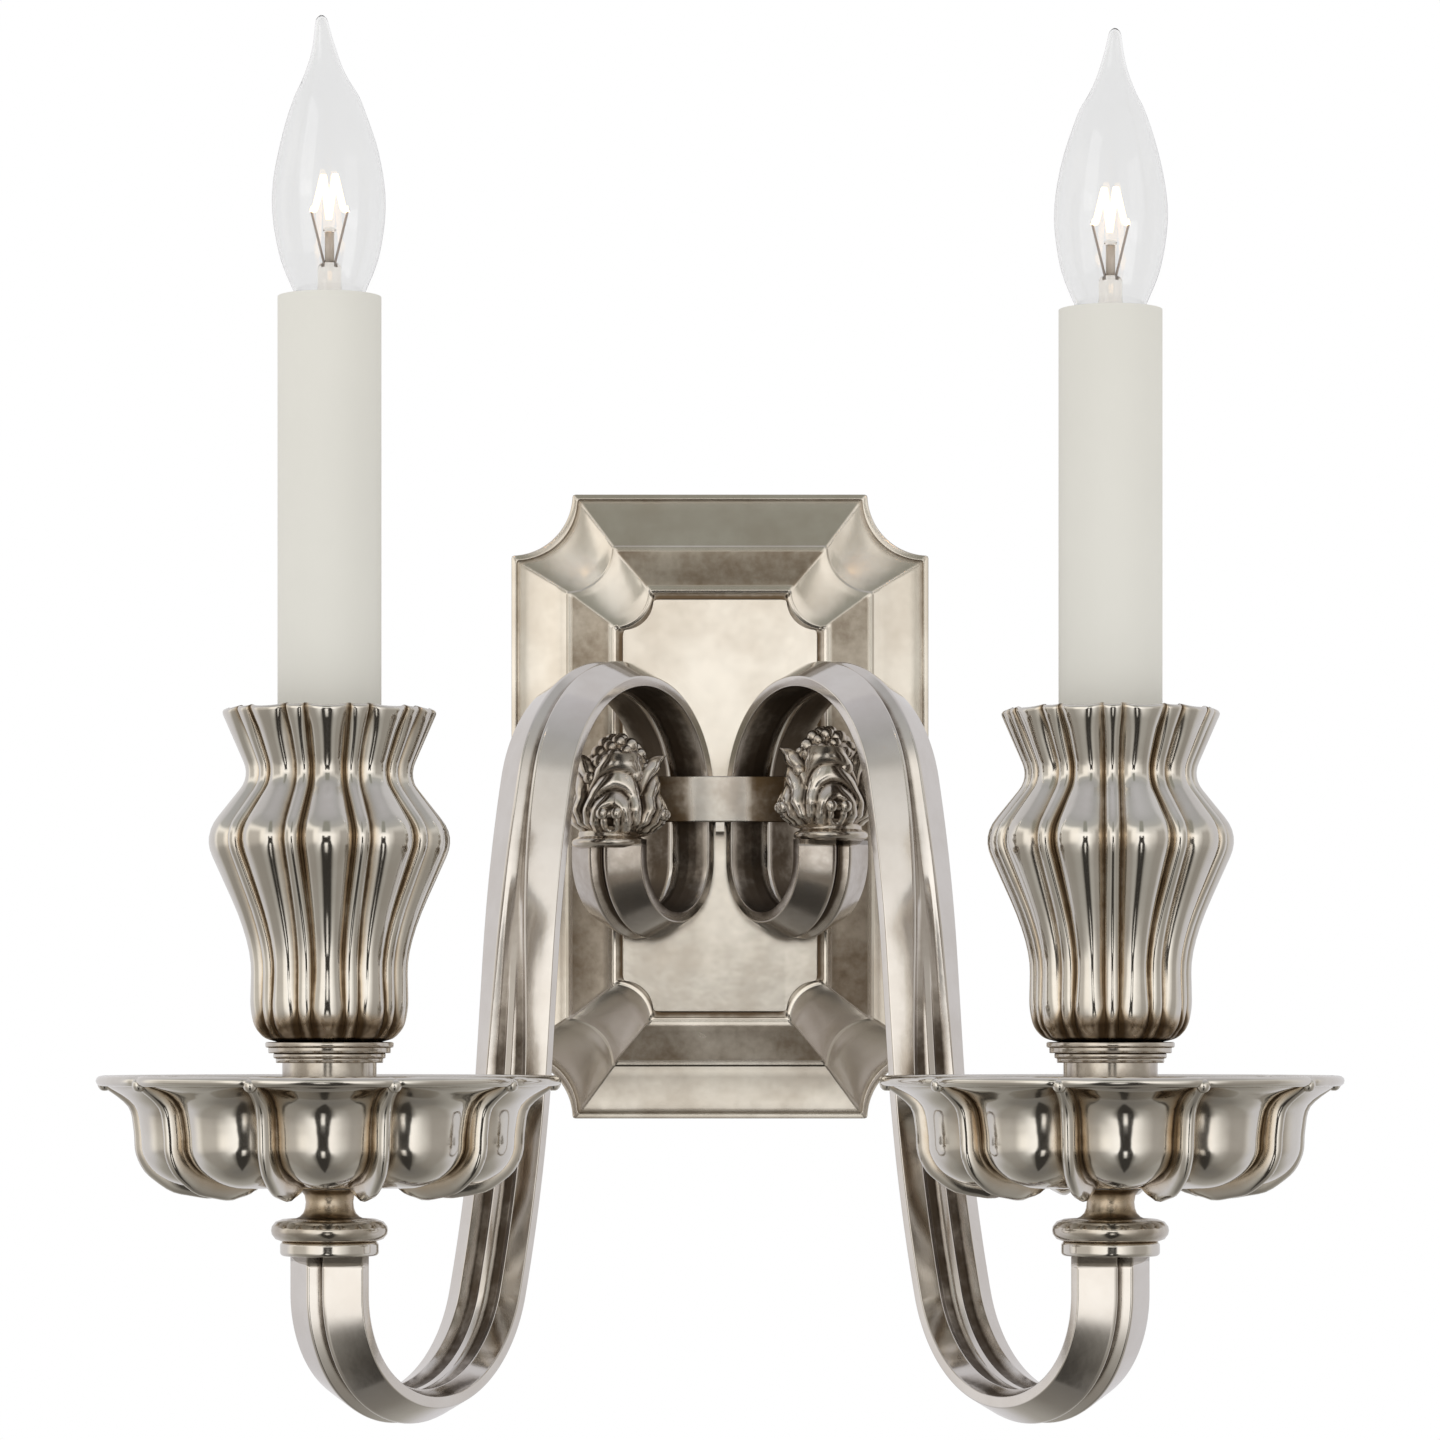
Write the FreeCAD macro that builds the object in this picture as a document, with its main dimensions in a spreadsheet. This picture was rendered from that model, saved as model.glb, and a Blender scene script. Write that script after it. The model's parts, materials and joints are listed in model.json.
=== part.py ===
import FreeCAD, Part
import Sketcher
import math
import os
from FreeCAD import Placement, Rotation, Vector

# Double arm wall sconce, in millimetres.
# +X is to the right, +Y into the wall, +Z up. The origin is the centre of the backplate,
# on the wall plane, so everything that shows stands at negative Y.

SIZES = (
    # Backplate: a shallow hollow casting with scooped corners, in steps that rise to a flat panel.
    ("plate_width", 128.5),
    ("plate_height", 192.2),
    ("plate_scoop", 18.8),
    ("plate_wall", 2.0),
    ("rim_height", 5.2),
    ("rim_band", 1.8),
    ("rim_crown", 0.4),
    ("ridge_inset_across", 15.5),
    ("ridge_inset_up", 14.6),
    ("ridge_scoop", 14.1),
    ("ridge_rise", 3.0),
    ("ring_inset_across", 14.8),
    ("ring_inset_up", 14.2),
    ("ring_scoop", 11.0),
    ("ring_rise", 2.9),
    ("ledge_width", 2.7),
    ("ledge_rise", 0.2),
    ("panel_edge", 0.4),
    ("panel_rise", 0.9),
    ("panel_scoop", 9.2),
    # Arms: one flat cast bar each, in a vertical plane turned from the wall's normal.
    ("arm_angle", 33.8),
    ("arm_root_across", 13.2),
    ("arm_root_out", 22.0),
    ("arm_root_up", 1.5),
    ("arm_width", 25.4),
    ("arm_edge", 3.1),
    ("arm_ridge_height", 5.3),
    ("arm_ridge_spread", 10.0),
    ("arm_valley_height", 1.0),
    ("arm_valley_width", 1.6),
    ("arm_lip_inset", 5.5),
    ("arm_lip_height", 2.1),
    ("arm_lip_slope", 2.4),
    ("arm_floor_height", 0.3),
    ("arm_rib_width", 2.2),
    ("arm_rib_slope", 1.1),
    ("arm_rib_height", 1.2),
    ("bud_stem", 5.0),
    ("eye_radius", 17.9),
    ("back_straight", 18.6),
    ("crown_back_radius", 33.5),
    ("crown_back_turn", 93.0),
    ("crown_front_radius", 39.8),
    ("crown_front_turn", 73.0),
    ("limb_upper_radius", 374.0),
    ("limb_lean", 5.8),
    ("limb_straight", 28.0),
    ("limb_lower_radius", 391.0),
    ("limb_lower_turn", 10.4),
    ("bowl_back_radius", 40.0),
    ("bowl_back_turn", 107.0),
    ("bowl_front_radius", 30.0),
    ("riser", 10.6),
    ("wireway", 3.4),
    ("wire_bundle", 2.6),
    ("wire_bend", 5.0),
    # Fixing of each arm to the plate.
    ("boss_radius", 6.4),
    ("boss_drop", 8.0),
    ("nipple_radius", 4.8),
    ("nipple_bore", 3.4),
    ("locknut_across_flats", 14.0),
    ("locknut_height", 3.2),
    ("nipple_tail", 0.4),
    ("thread_depth", 4.0),
    # Band across the two arms, with the lug that holds it off the plate.
    ("band_height", 13.9),
    ("band_rise", 8.0),
    ("band_thickness", 1.6),
    ("band_half_width", 25.4),
    ("band_bow", 2.6),
    ("band_gap", 0.05),
    ("lug_width", 2.6),
    ("lug_fit", 0.01),
    ("lug_tail", 2.8),
    # Bud at the inner end of each arm.
    ("collar_radius", 12.3),
    ("collar_bead", 1.7),
    ("collar_neck", 8.6),
    ("collar_disc", 1.4),
    ("bud_height", 26.5),
    ("bud_foot", 8.0),
    ("bud_belly", 12.6),
    ("bud_throat", 8.4),
    ("bud_leaf_reach", 3.2),
    ("bud_leaf_width", 7.4),
    ("bud_leaf_thickness", 2.6),
    ("bud_tip_curl", 2.8),
    ("bud_berry", 2.9),
    ("bud_eye", 1.7),
    # Turned and cast pieces on each candle axis, from the arm's end upwards.
    ("cap_radius", 13.7),
    ("cap_height", 4.0),
    ("cap_round", 1.1),
    ("stem_bead_radius", 13.1),
    ("stem_bead", 3.1),
    ("stem_flare", 8.8),
    ("stem_flare_height", 1.6),
    ("stem_waist", 6.5),
    ("stem_waist_height", 3.9),
    ("stem_head", 9.0),
    ("stem_height", 14.9),
    ("dish_radius", 55.6),
    ("dish_belly_radius", 53.6),
    ("dish_foot_radius", 34.0),
    ("dish_floor_radius", 18.0),
    ("dish_depth", 31.2),
    ("dish_rib_depth", 2.0),
    ("dish_rib_width", 4.4),
    ("dish_rib_share", 0.9),
    ("dish_wall", 1.8),
    ("rim_radius", 64.4),
    ("rim_lip", 1.3),
    ("rim_slope", 4.6),
    ("neck_radius", 13.1),
    ("neck_wall", 1.5),
    ("neck_above_dish", 3.5),
    ("washer_radius", 15.6),
    ("washer_height", 2.7),
    ("foot_ring_radius", 17.8),
    ("foot_ring_height", 3.1),
    ("cup_height", 93.3),
    ("cup_base_radius", 17.0),
    ("cup_barrel_radius", 22.2),
    ("cup_belly_radius", 33.8),
    ("cup_waist_radius", 23.6),
    ("cup_rim_radius", 29.7),
    ("cup_barrel_top", 24.0),
    ("cup_belly_height", 56.4),
    ("cup_waist_height", 74.5),
    ("cup_wall", 1.9),
    ("cup_floor", 3.0),
    ("cup_rib_width", 4.2),
    ("cup_rib_share", 0.6),
    ("flute_count", 10.0),
    ("cup_lobe_depth", 1.5),
    # Candle sleeve and the lampholder that it hides.
    ("sleeve_radius", 14.4),
    ("sleeve_wall", 1.1),
    ("sleeve_length", 203.9),
    ("right_candle_drop", 3.6),
    ("rod_radius", 4.8),
    ("rod_bore", 3.4),
    ("rod_tail", 3.0),
    ("rod_fit", 0.1),
    ("rod_above_nut", 14.0),
    ("cup_nut_across_flats", 14.0),
    ("cup_nut_height", 4.0),
    ("leg_radius", 5.9),
    ("leg_overlap", 9.0),
    ("holder_radius", 11.6),
    ("holder_floor", 6.0),
    ("holder_height", 32.0),
    ("holder_below_sleeve_top", 4.4),
    ("shell_wall", 0.4),
    ("lamp_gap", 0.35),
    # Lamp: candle-shaped, with a bent tip, and a small screw cap.
    ("lamp_cap_radius", 5.9),
    ("lamp_cap_height", 17.5),
    ("lamp_cap_above_holder", 0.8),
    ("lamp_eyelet_radius", 2.6),
    ("lamp_eyelet_height", 1.6),
    ("contact_travel", 2.6),
    ("contact_thickness", 0.8),
    ("contact_post_radius", 1.2),
    ("lamp_neck_radius", 6.2),
    ("lamp_base_radius", 10.6),
    ("lamp_belly_radius", 15.85),
    ("lamp_tip_radius", 1.5),
    ("lamp_length", 82.0),
    ("lamp_belly_height", 31.0),
    ("lamp_glass_wall", 0.7),
    ("tip_lean", 2.2),
    ("lamp_stem_height", 13.1),
    ("lamp_stem_radius", 3.0),
    ("lamp_stem_flare", 4.4),
    ("lamp_rod_radius", 1.2),
    ("lamp_rod_height", 9.7),
    ("support_foot", 1.2),
    ("support_depth", 1.4),
    ("support_spread", 5.2),
    ("support_top", 28.1),
    ("support_wire", 0.35),
    ("filament_spread", 3.6),
    ("filament_top", 39.3),
    ("filament_dip", 23.2),
    ("filament_wire", 0.3),
    ("filament_bend", 0.6),
    ("filament_overlap", 0.5),
    # Hidden mounting parts behind the plate.
    ("bar_width", 30.0),
    ("bar_thickness", 1.6),
    ("bar_end_gap", 0.6),
    ("bar_tab_width", 8.0),
    ("bar_tab_height", 5.0),
    ("bar_tab_depth", 3.0),
    ("box_screw_spacing", 88.9),
    ("box_slot_width", 4.6),
    ("box_slot_length", 9.0),
    ("bar_window_width", 24.0),
    ("bar_window_height", 18.0),
    ("grub_radius", 1.0),
    ("grub_length", 7.0),
    ("block_width", 31.0),
    ("block_height", 12.0),
    ("block_depth", 7.2),
    ("block_up", 24.0),
    ("block_hole", 3.4),
    ("block_entry", 4.0),
    ("block_screw_radius", 1.6),
    ("block_screw_head", 1.2),
    ("lead_bend", 3.2),
    ("lead_out", 3.4),
    ("ground_screw_radius", 2.0),
    ("ground_head_radius", 3.6),
    ("ground_head_height", 2.4),
    ("ground_screw_down", 24.0),
)

doc = FreeCAD.newDocument("wall_sconce")
sheet = doc.addObject("Spreadsheet::Sheet", "sizes")


class Size:
    """A length that carries both its value and the sheet expression that it comes from."""

    def __init__(self, value, text):
        self.value = float(value)
        self.text = text

    @staticmethod
    def of(other):
        return other if isinstance(other, Size) else Size(other, repr(float(other)))

    def join(self, other, sign, value):
        return Size(value, "(" + self.text + " " + sign + " " + other.text + ")")

    def __add__(self, other):
        other = Size.of(other)
        return self.join(other, "+", self.value + other.value)

    def __sub__(self, other):
        other = Size.of(other)
        return self.join(other, "-", self.value - other.value)

    def __mul__(self, other):
        other = Size.of(other)
        return self.join(other, "*", self.value * other.value)

    def __truediv__(self, other):
        other = Size.of(other)
        return self.join(other, "/", self.value / other.value)

    def __radd__(self, other):
        return Size.of(other) + self

    def __rsub__(self, other):
        return Size.of(other) - self

    def __rmul__(self, other):
        return Size.of(other) * self

    def __neg__(self):
        return Size.of(0) - self

    def __float__(self):
        return self.value


sheet_rows = [0]


def add_size(alias, value):
    sheet_rows[0] += 1
    row = str(sheet_rows[0])
    sheet.set("A" + row, alias)
    sheet.set("B" + row, repr(float(value)))
    sheet.setAlias("B" + row, alias)
    return Size(value, "sizes." + alias)


size = {alias: add_size(alias, value) for alias, value in SIZES}
doc.recompute()


def val(alias):
    return size[alias].value


# ---------------------------------------------------------------------------------------------
# Helpers for sketches and features


def plane_of(body, role):
    for feature in body.Origin.OriginFeatures:
        if feature.Role == role:
            return feature
    raise ValueError(role)


def new_body(name, where=(0, 0, 0)):
    body = doc.addObject("PartDesign::Body", name)
    body.Label = name
    for axis, place in zip("xyz", where):
        body.setExpression("Placement.Base." + axis, Size.of(place).text)
    return body


def new_sketch(body, name, role, lift=0):
    sketch = body.newObject("Sketcher::SketchObject", name)
    sketch.AttachmentSupport = [(plane_of(body, role), "")]
    sketch.MapMode = "FlatFace"
    sketch.setExpression("AttachmentOffset.Base.z", Size.of(lift).text)
    return sketch


def pin_point(sketch, geo, pos, across, up):
    """Fixes one point of the sketch at a distance from its origin."""
    for kind, place in (("DistanceX", across), ("DistanceY", up)):
        place = Size.of(place)
        index = sketch.addConstraint(Sketcher.Constraint(kind, -1, 1, geo, pos, place.value))
        sketch.setExpression("Constraints[" + str(index) + "]", place.text)


def draw_outline(sketch, path):
    """Adds a closed path of points to a sketch. An entry of 2 sizes is a straight side's end; an
    entry of 4 is an arc: the point it passes through, then its end."""
    first = sketch.GeometryCount
    ends = [entry[-2:] for entry in path]
    positions = []
    for i, entry in enumerate(path):
        start = Vector(float(ends[i - 1][0]), float(ends[i - 1][1]), 0)
        last = Vector(float(entry[-2]), float(entry[-1]), 0)
        if len(entry) == 2:
            sketch.addGeometry(Part.LineSegment(start, last), False)
        else:
            middle = Vector(float(entry[0]), float(entry[1]), 0)
            sketch.addGeometry(Part.Arc(start, middle, last), False)
        at_start = sketch.getPoint(first + i, 1).distanceToPoint(start) < 1e-6
        positions.append((1, 2) if at_start else (2, 1))
    for i in range(len(path)):
        following = (i + 1) % len(path)
        sketch.addConstraint(
            Sketcher.Constraint(
                "Coincident", first + i, positions[i][1], first + following, positions[following][0]
            )
        )
    for i, entry in enumerate(path):
        pin_point(sketch, first + i, positions[i][1], entry[-2], entry[-1])
    for i, entry in enumerate(path):
        if len(entry) == 4:
            marker = sketch.addGeometry(Part.Point(Vector(float(entry[0]), float(entry[1]), 0)), True)
            pin_point(sketch, marker, 1, entry[0], entry[1])
            sketch.addConstraint(Sketcher.Constraint("PointOnObject", marker, 1, first + i))
    return sketch


def draw_circle(sketch, across, up, radius):
    radius = Size.of(radius)
    centre = Vector(float(across), float(up), 0)
    geo = sketch.addGeometry(Part.Circle(centre, Vector(0, 0, 1), radius.value), False)
    index = sketch.addConstraint(Sketcher.Constraint("Radius", geo, radius.value))
    sketch.setExpression("Constraints[" + str(index) + "]", radius.text)
    pin_point(sketch, geo, 3, across, up)
    return geo


def revolved(name, path, where):
    """A turned piece: its half outline, as (radius, height) points, goes round the Z axis."""
    body = new_body(name, where)
    sketch = draw_outline(new_sketch(body, name + "_outline", "XZ_Plane"), path)
    turn = body.newObject("PartDesign::Revolution", name + "_turn")
    turn.Profile = sketch
    turn.ReferenceAxis = (sketch, ["V_Axis"])
    turn.Angle = 360.0
    sketch.Visibility = False
    return body


def cut_through(body, sketch, name, length):
    """Cuts a sketch right through a piece, the same distance to each side of its plane."""
    pocket = body.newObject("PartDesign::Pocket", name)
    pocket.Profile = sketch
    pocket.setExpression("Length", (length * 2.0).text)
    pocket.Midplane = True
    return pocket


def tube_path(inner, outer, low, high):
    return [(inner, high), (inner, low), (outer, low), (outer, high)]


def coded(name, shape):
    """A piece whose shape is made from the sheet's values in code."""
    feature = doc.addObject("Part::Feature", name)
    feature.Label = name
    feature.Shape = shape
    return feature


def mirrored(name, source):
    """The same piece on the right-hand side."""
    copy = doc.addObject("Part::Mirroring", name)
    copy.Label = name
    copy.Source = source
    copy.Base = Vector(0, 0, 0)
    copy.Normal = Vector(1, 0, 0)
    return copy


def closed_wire(points):
    return Part.makePolygon(list(points) + [points[0]])


# ---------------------------------------------------------------------------------------------
# Arm: the path in its own plane, and the section that runs along it


class Stretch:
    """One straight or round stretch of the arm's path. s runs out from the wall, z up."""

    def __init__(self, s, z, heading, length=0.0, radius=0.0, turn=0.0, blend=0.0):
        self.s, self.z, self.heading = s, z, heading
        self.length, self.radius, self.turn, self.blend = length, radius, turn, blend

    def centre(self):
        side = math.copysign(1.0, self.turn)
        return (
            self.s - math.sin(self.heading) * self.radius * side,
            self.z + math.cos(self.heading) * self.radius * side,
        )

    def point(self, share=1.0):
        if not self.turn:
            run = self.length * share
            return self.s + math.cos(self.heading) * run, self.z + math.sin(self.heading) * run
        s, z = self.centre()
        side = math.copysign(1.0, self.turn)
        angle = self.heading + self.turn * share
        return s + math.sin(angle) * self.radius * side, z - math.cos(angle) * self.radius * side

    def end_heading(self):
        return self.heading + self.turn


def arm_stretches():
    """The arm's path from the bud: round the eye of the scroll, over its crown, down the long
    limb, round the bowl and up to the candle."""
    crown_turn = val("crown_back_turn") + val("crown_front_turn")
    upper_turn = 180.0 - val("limb_lean") - crown_turn
    bowl_front_turn = 180.0 - val("limb_lean") - val("limb_lower_turn") - val("bowl_back_turn")
    start_s = 2.0 * val("eye_radius")
    start_z = val("arm_root_up") - val("back_straight") + val("bud_stem")
    plan = (
        ("line", val("bud_stem"), 0.0),
        ("arc", val("eye_radius"), -90.0),
        ("arc", val("eye_radius"), -90.0),
        ("line", val("back_straight"), 0.0),
        ("arc", val("crown_back_radius"), -val("crown_back_turn")),
        ("arc", val("crown_front_radius"), -val("crown_front_turn")),
        ("arc", val("limb_upper_radius"), -upper_turn),
        ("blend", val("limb_straight"), 0.0),
        ("arc", val("limb_lower_radius"), val("limb_lower_turn")),
        ("arc", val("bowl_back_radius"), val("bowl_back_turn")),
        ("arc", val("bowl_front_radius"), bowl_front_turn),
        ("line", val("riser"), 0.0),
    )
    stretches = []
    s, z, heading = start_s, start_z, math.radians(-90.0)
    for kind, amount, turn in plan:
        if kind == "arc":
            piece = Stretch(s, z, heading, radius=amount, turn=math.radians(turn))
        else:
            piece = Stretch(s, z, heading, length=amount, blend=float(kind == "blend"))
        stretches.append(piece)
        s, z = piece.point()
        heading = piece.end_heading()
    return stretches


ARM_PATH = arm_stretches()
ARM_END = ARM_PATH[-1].point()
ARM_ANGLE = math.radians(val("arm_angle"))
ARM_FRAME = Placement(
    Vector(-val("arm_root_across"), -val("arm_root_out"), 0),
    Rotation(Vector(0, 0, 1), -(90.0 + val("arm_angle"))),
)
GABLED, CHANNELLED = 1.0, 0.0
BLEND_STEPS = 4


def in_arm_plane(s, across, z):
    """A point given along the arm's plane, in the sconce's own frame."""
    return ARM_FRAME.multVec(Vector(s, across, z))


def side_heights(gabled):
    """Half of one face of the bar, from its edge to its middle, as (across, height) points.
    The gabled face has two ridges with a valley between; the channelled one a lip near each
    edge and a thin rib."""
    half, ridge = val("arm_width") / 2.0, val("arm_ridge_spread") / 2.0
    valley = val("arm_valley_width") / 2.0
    ridge_height, valley_height = val("arm_ridge_height"), val("arm_valley_height")
    lip = half - val("arm_lip_inset")
    floor_outer = lip - val("arm_lip_slope")
    rib = val("arm_rib_width") / 2.0
    rib_foot = rib + val("arm_rib_slope")
    gable = (
        (half, 0.0),
        ((half + ridge) / 2.0, ridge_height / 2.0),
        (ridge, ridge_height),
        ((ridge + valley) / 2.0, (ridge_height + valley_height) / 2.0),
        (valley, valley_height),
    )
    channel = (
        (half, 0.0),
        (lip, val("arm_lip_height")),
        (floor_outer, val("arm_floor_height")),
        (rib_foot, val("arm_floor_height")),
        (rib, val("arm_rib_height")),
    )
    mixed = []
    for (gable_across, gable_up), (channel_across, channel_up) in zip(gable, channel):
        mixed.append(
            (
                channel_across + (gable_across - channel_across) * gabled,
                channel_up + (gable_up - channel_up) * gabled,
            )
        )
    return mixed


def section_points(outer_gabled):
    """The bar's section as (across, outward) points. Outward is to the left of the path."""
    base = val("arm_edge") / 2.0
    points = []
    for gabled, sign in ((outer_gabled, 1.0), (1.0 - outer_gabled, -1.0)):
        half = side_heights(gabled)
        left = [(-across, sign * (base + up)) for across, up in half]
        right = [(across, sign * (base + up)) for across, up in reversed(half)]
        face = left + right
        points += face if sign > 0 else list(reversed(face))
    return points


def place_section(s, z, heading, outer_gabled):
    """The section's corners in the arm's plane, where the path has this place and heading."""
    return [
        Vector(s - math.sin(heading) * out, across, z + math.cos(heading) * out)
        for across, out in section_points(outer_gabled)
    ]


def arm_bar():
    """The bar as one closed skin: every side of the section runs straight along the straight
    stretches and turns about the centre of the round ones."""
    faces = []
    outer = GABLED
    first = ARM_PATH[0]
    faces.append(Part.Face(closed_wire(place_section(first.s, first.z, first.heading, outer))))
    for piece in ARM_PATH:
        corners = place_section(piece.s, piece.z, piece.heading, outer)
        sides = [
            Part.makeLine(a, b) for a, b in zip(corners, corners[1:] + corners[:1])
        ]
        if piece.turn:
            centre_s, centre_z = piece.centre()
            axis = Vector(0, -math.copysign(1.0, piece.turn), 0)
            turn = math.degrees(abs(piece.turn))
            faces += [side.revolve(Vector(centre_s, 0, centre_z), axis, turn) for side in sides]
        elif piece.blend:
            faces += blended_faces(piece)
            outer = CHANNELLED
        else:
            run = Vector(math.cos(piece.heading), 0, math.sin(piece.heading)) * piece.length
            faces += [side.extrude(run) for side in sides]
    last = ARM_PATH[-1]
    end_s, end_z = last.point()
    faces.append(Part.Face(closed_wire(place_section(end_s, end_z, last.end_heading(), outer))))
    skin = Part.makeShell([face for shape in faces for face in shape.Faces])
    skin.sewShape()
    solid = Part.makeSolid(skin)
    if solid.Volume < 0:
        solid.reverse()
    return solid


def blended_faces(piece):
    """Where the bar's gabled face passes from its one side to the other."""
    faces = []
    previous = None
    for step in range(BLEND_STEPS + 1):
        share = step / BLEND_STEPS
        smooth = share * share * (3.0 - 2.0 * share)
        s, z = piece.point(share)
        corners = place_section(s, z, piece.heading, GABLED - smooth)
        if previous:
            following = previous[1:] + previous[:1]
            for a, b, c, d in zip(previous, following, corners[1:] + corners[:1], corners):
                faces.append(Part.makeRuledSurface(Part.makeLine(a, b), Part.makeLine(d, c)))
        previous = corners
    return faces


def bar_point(piece, share, out=0.0):
    s, z = piece.point(share)
    angle = piece.heading + piece.turn * share
    return in_arm_plane(s - math.sin(angle) * out, 0, z + math.cos(angle) * out)


BOSS_UP = val("arm_root_up") - val("boss_drop")
PLATE_RISES = ("rim_crown", "ridge_rise", "ring_rise", "ledge_rise", "panel_rise")
PANEL_FRONT = val("rim_height") + sum(val(alias) for alias in PLATE_RISES)
size["panel_front"] = add_size("panel_front", PANEL_FRONT)
size["panel_back"] = add_size("panel_back", PANEL_FRONT - val("plate_wall"))


def run_wire():
    """The centre line of the arm's wires: from the candle end back along the bar, down the back
    limb, out through the hollow nipple behind the plate, and up into the terminal block."""
    edges = []
    for piece in reversed(ARM_PATH[4:]):
        start, end = bar_point(piece, 1.0), bar_point(piece, 0.0)
        if piece.turn:
            edges.append(Part.Arc(start, bar_point(piece, 0.5), end).toShape())
        else:
            edges.append(Part.makeLine(start, end))
    root_x, root_y = -val("arm_root_across"), -val("arm_root_out")
    bend = val("wire_bend")
    diagonal = bend * (1.0 - math.sqrt(0.5))
    top = Vector(root_x, root_y, val("arm_root_up"))
    above = Vector(root_x, root_y, BOSS_UP + bend)
    middle = Vector(root_x, root_y + diagonal, BOSS_UP + diagonal)
    turned = Vector(root_x, root_y + bend, BOSS_UP)
    edges.append(Part.makeLine(top, above))
    edges.append(Part.Arc(above, middle, turned).toShape())
    lead_y, lead_bend = -val("lead_out"), val("lead_bend")
    diagonal = lead_bend * (1.0 - math.sqrt(0.5))
    out = Vector(root_x, lead_y - lead_bend, BOSS_UP)
    around = Vector(root_x, lead_y - diagonal, BOSS_UP + diagonal)
    risen = Vector(root_x, lead_y, BOSS_UP + lead_bend)
    block_low = val("block_up") - val("block_height") / 2.0
    edges.append(Part.makeLine(turned, out))
    edges.append(Part.Arc(out, around, risen).toShape())
    edges.append(Part.makeLine(risen, Vector(root_x, lead_y, block_low + val("block_entry"))))
    return Part.Wire(edges)


def swept_round(path, radius):
    """A round rod along a path of straight runs and tangent arcs."""
    start = path.Vertexes[0].Point
    first = path.Edges[0]
    tangent = first.tangentAt(first.FirstParameter)
    if first.valueAt(first.FirstParameter).distanceToPoint(start) > 1e-6:
        tangent = first.tangentAt(first.LastParameter) * -1.0
    ring = Part.Wire(Part.Circle(start, tangent, radius).toShape())
    return path.makePipeShell([ring], True, False)


left_axis_x = add_size("left_axis_x", in_arm_plane(ARM_END[0], 0, ARM_END[1]).x)
right_axis_x = add_size("right_axis_x", -left_axis_x.value)
axis_y = add_size("candle_axis_y", in_arm_plane(ARM_END[0], 0, ARM_END[1]).y)
arm_end_z = add_size("arm_end_z", ARM_END[1])


def boss_rod(radius, first_y, last_y):
    start = Vector(-val("arm_root_across"), first_y, BOSS_UP)
    return Part.makeCylinder(radius, last_y - first_y, start, Vector(0, 1, 0))


def make_arm():
    bar = arm_bar()
    bar.Placement = ARM_FRAME
    boss = boss_rod(val("boss_radius"), -val("arm_root_out"), -val("panel_front"))
    wireway = swept_round(run_wire(), val("wireway") / 2.0)
    thread = boss_rod(val("nipple_radius"), -val("panel_front") - val("thread_depth"), 0.0)
    return bar.fuse(boss).cut(wireway).cut(thread)


left_arm = coded("left_arm", make_arm())
mirrored("right_arm", left_arm)

left_wires = coded("left_arm_wires", swept_round(run_wire(), val("wire_bundle") / 2.0))
mirrored("right_arm_wires", left_wires)


# ---------------------------------------------------------------------------------------------
# Backplate


def scooped(across, up, scoop):
    """An oblong with four scooped corners, half across by half up."""
    dip = scoop * math.sqrt(0.5)
    path = []
    for sign_x, sign_z, first in ((1, 1, True), (-1, 1, False), (-1, -1, True), (1, -1, False)):
        on_side = (sign_x * across, sign_z * (up - scoop))
        on_end = (sign_x * (across - scoop), sign_z * up)
        middle = (sign_x * (across - dip), sign_z * (up - dip))
        path += [on_side, middle + on_end] if first else [on_end, middle + on_side]
    return path


def plate_steps(wall):
    """The plate's rings from the wall outwards: half across, half up, scoop, distance out."""
    across, up = size["plate_width"] / 2.0 - wall, size["plate_height"] / 2.0 - wall
    out = size["rim_height"] - wall
    rings = [(across, up, size["plate_scoop"], Size.of(0)), (across, up, size["plate_scoop"], out)]
    for inset_across, inset_up, scoop, rise in (
        (size["rim_band"], size["rim_band"], size["plate_scoop"], size["rim_crown"]),
        (size["ridge_inset_across"], size["ridge_inset_up"], size["ridge_scoop"], size["ridge_rise"]),
        (size["ring_inset_across"], size["ring_inset_up"], size["ring_scoop"], size["ring_rise"]),
        (size["ledge_width"], size["ledge_width"], size["ring_scoop"], size["ledge_rise"]),
        (size["panel_edge"], size["panel_edge"], size["panel_scoop"], size["panel_rise"]),
    ):
        across, up, out = across - inset_across, up - inset_up, out + rise
        rings.append((across, up, scoop, out))
    return rings


def plate_loft(body, kind, name, wall):
    sketches = []
    for number, (across, up, scoop, out) in enumerate(plate_steps(wall)):
        sketch = new_sketch(body, name + "_ring_" + str(number), "XZ_Plane", out)
        sketches.append(draw_outline(sketch, scooped(across, up, scoop)))
    loft = body.newObject(kind, name)
    loft.Profile = sketches[0]
    loft.Sections = sketches[1:]
    loft.Ruled = True
    return loft


def make_backplate():
    body = new_body("backplate")
    plate_loft(body, "PartDesign::AdditiveLoft", "plate_outside", Size.of(0))
    plate_loft(body, "PartDesign::SubtractiveLoft", "plate_hollow", size["plate_wall"])
    holes = new_sketch(body, "nipple_holes", "XZ_Plane")
    for sign in (-1, 1):
        draw_circle(holes, sign * size["arm_root_across"], boss_up, size["nipple_radius"])
    cut_through(body, holes, "nipple_pocket", size["panel_front"])
    grubs = new_sketch(body, "grub_holes", "XY_Plane")
    draw_circle(grubs, 0, -grub_out, size["grub_radius"])
    cut_through(body, grubs, "grub_pocket", size["plate_height"])
    return body


boss_up = size["arm_root_up"] - size["boss_drop"]
grub_out = (size["rim_height"] - size["plate_wall"]) / 2.0
make_backplate()


# ---------------------------------------------------------------------------------------------
# Fixing pieces at the plate


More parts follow.
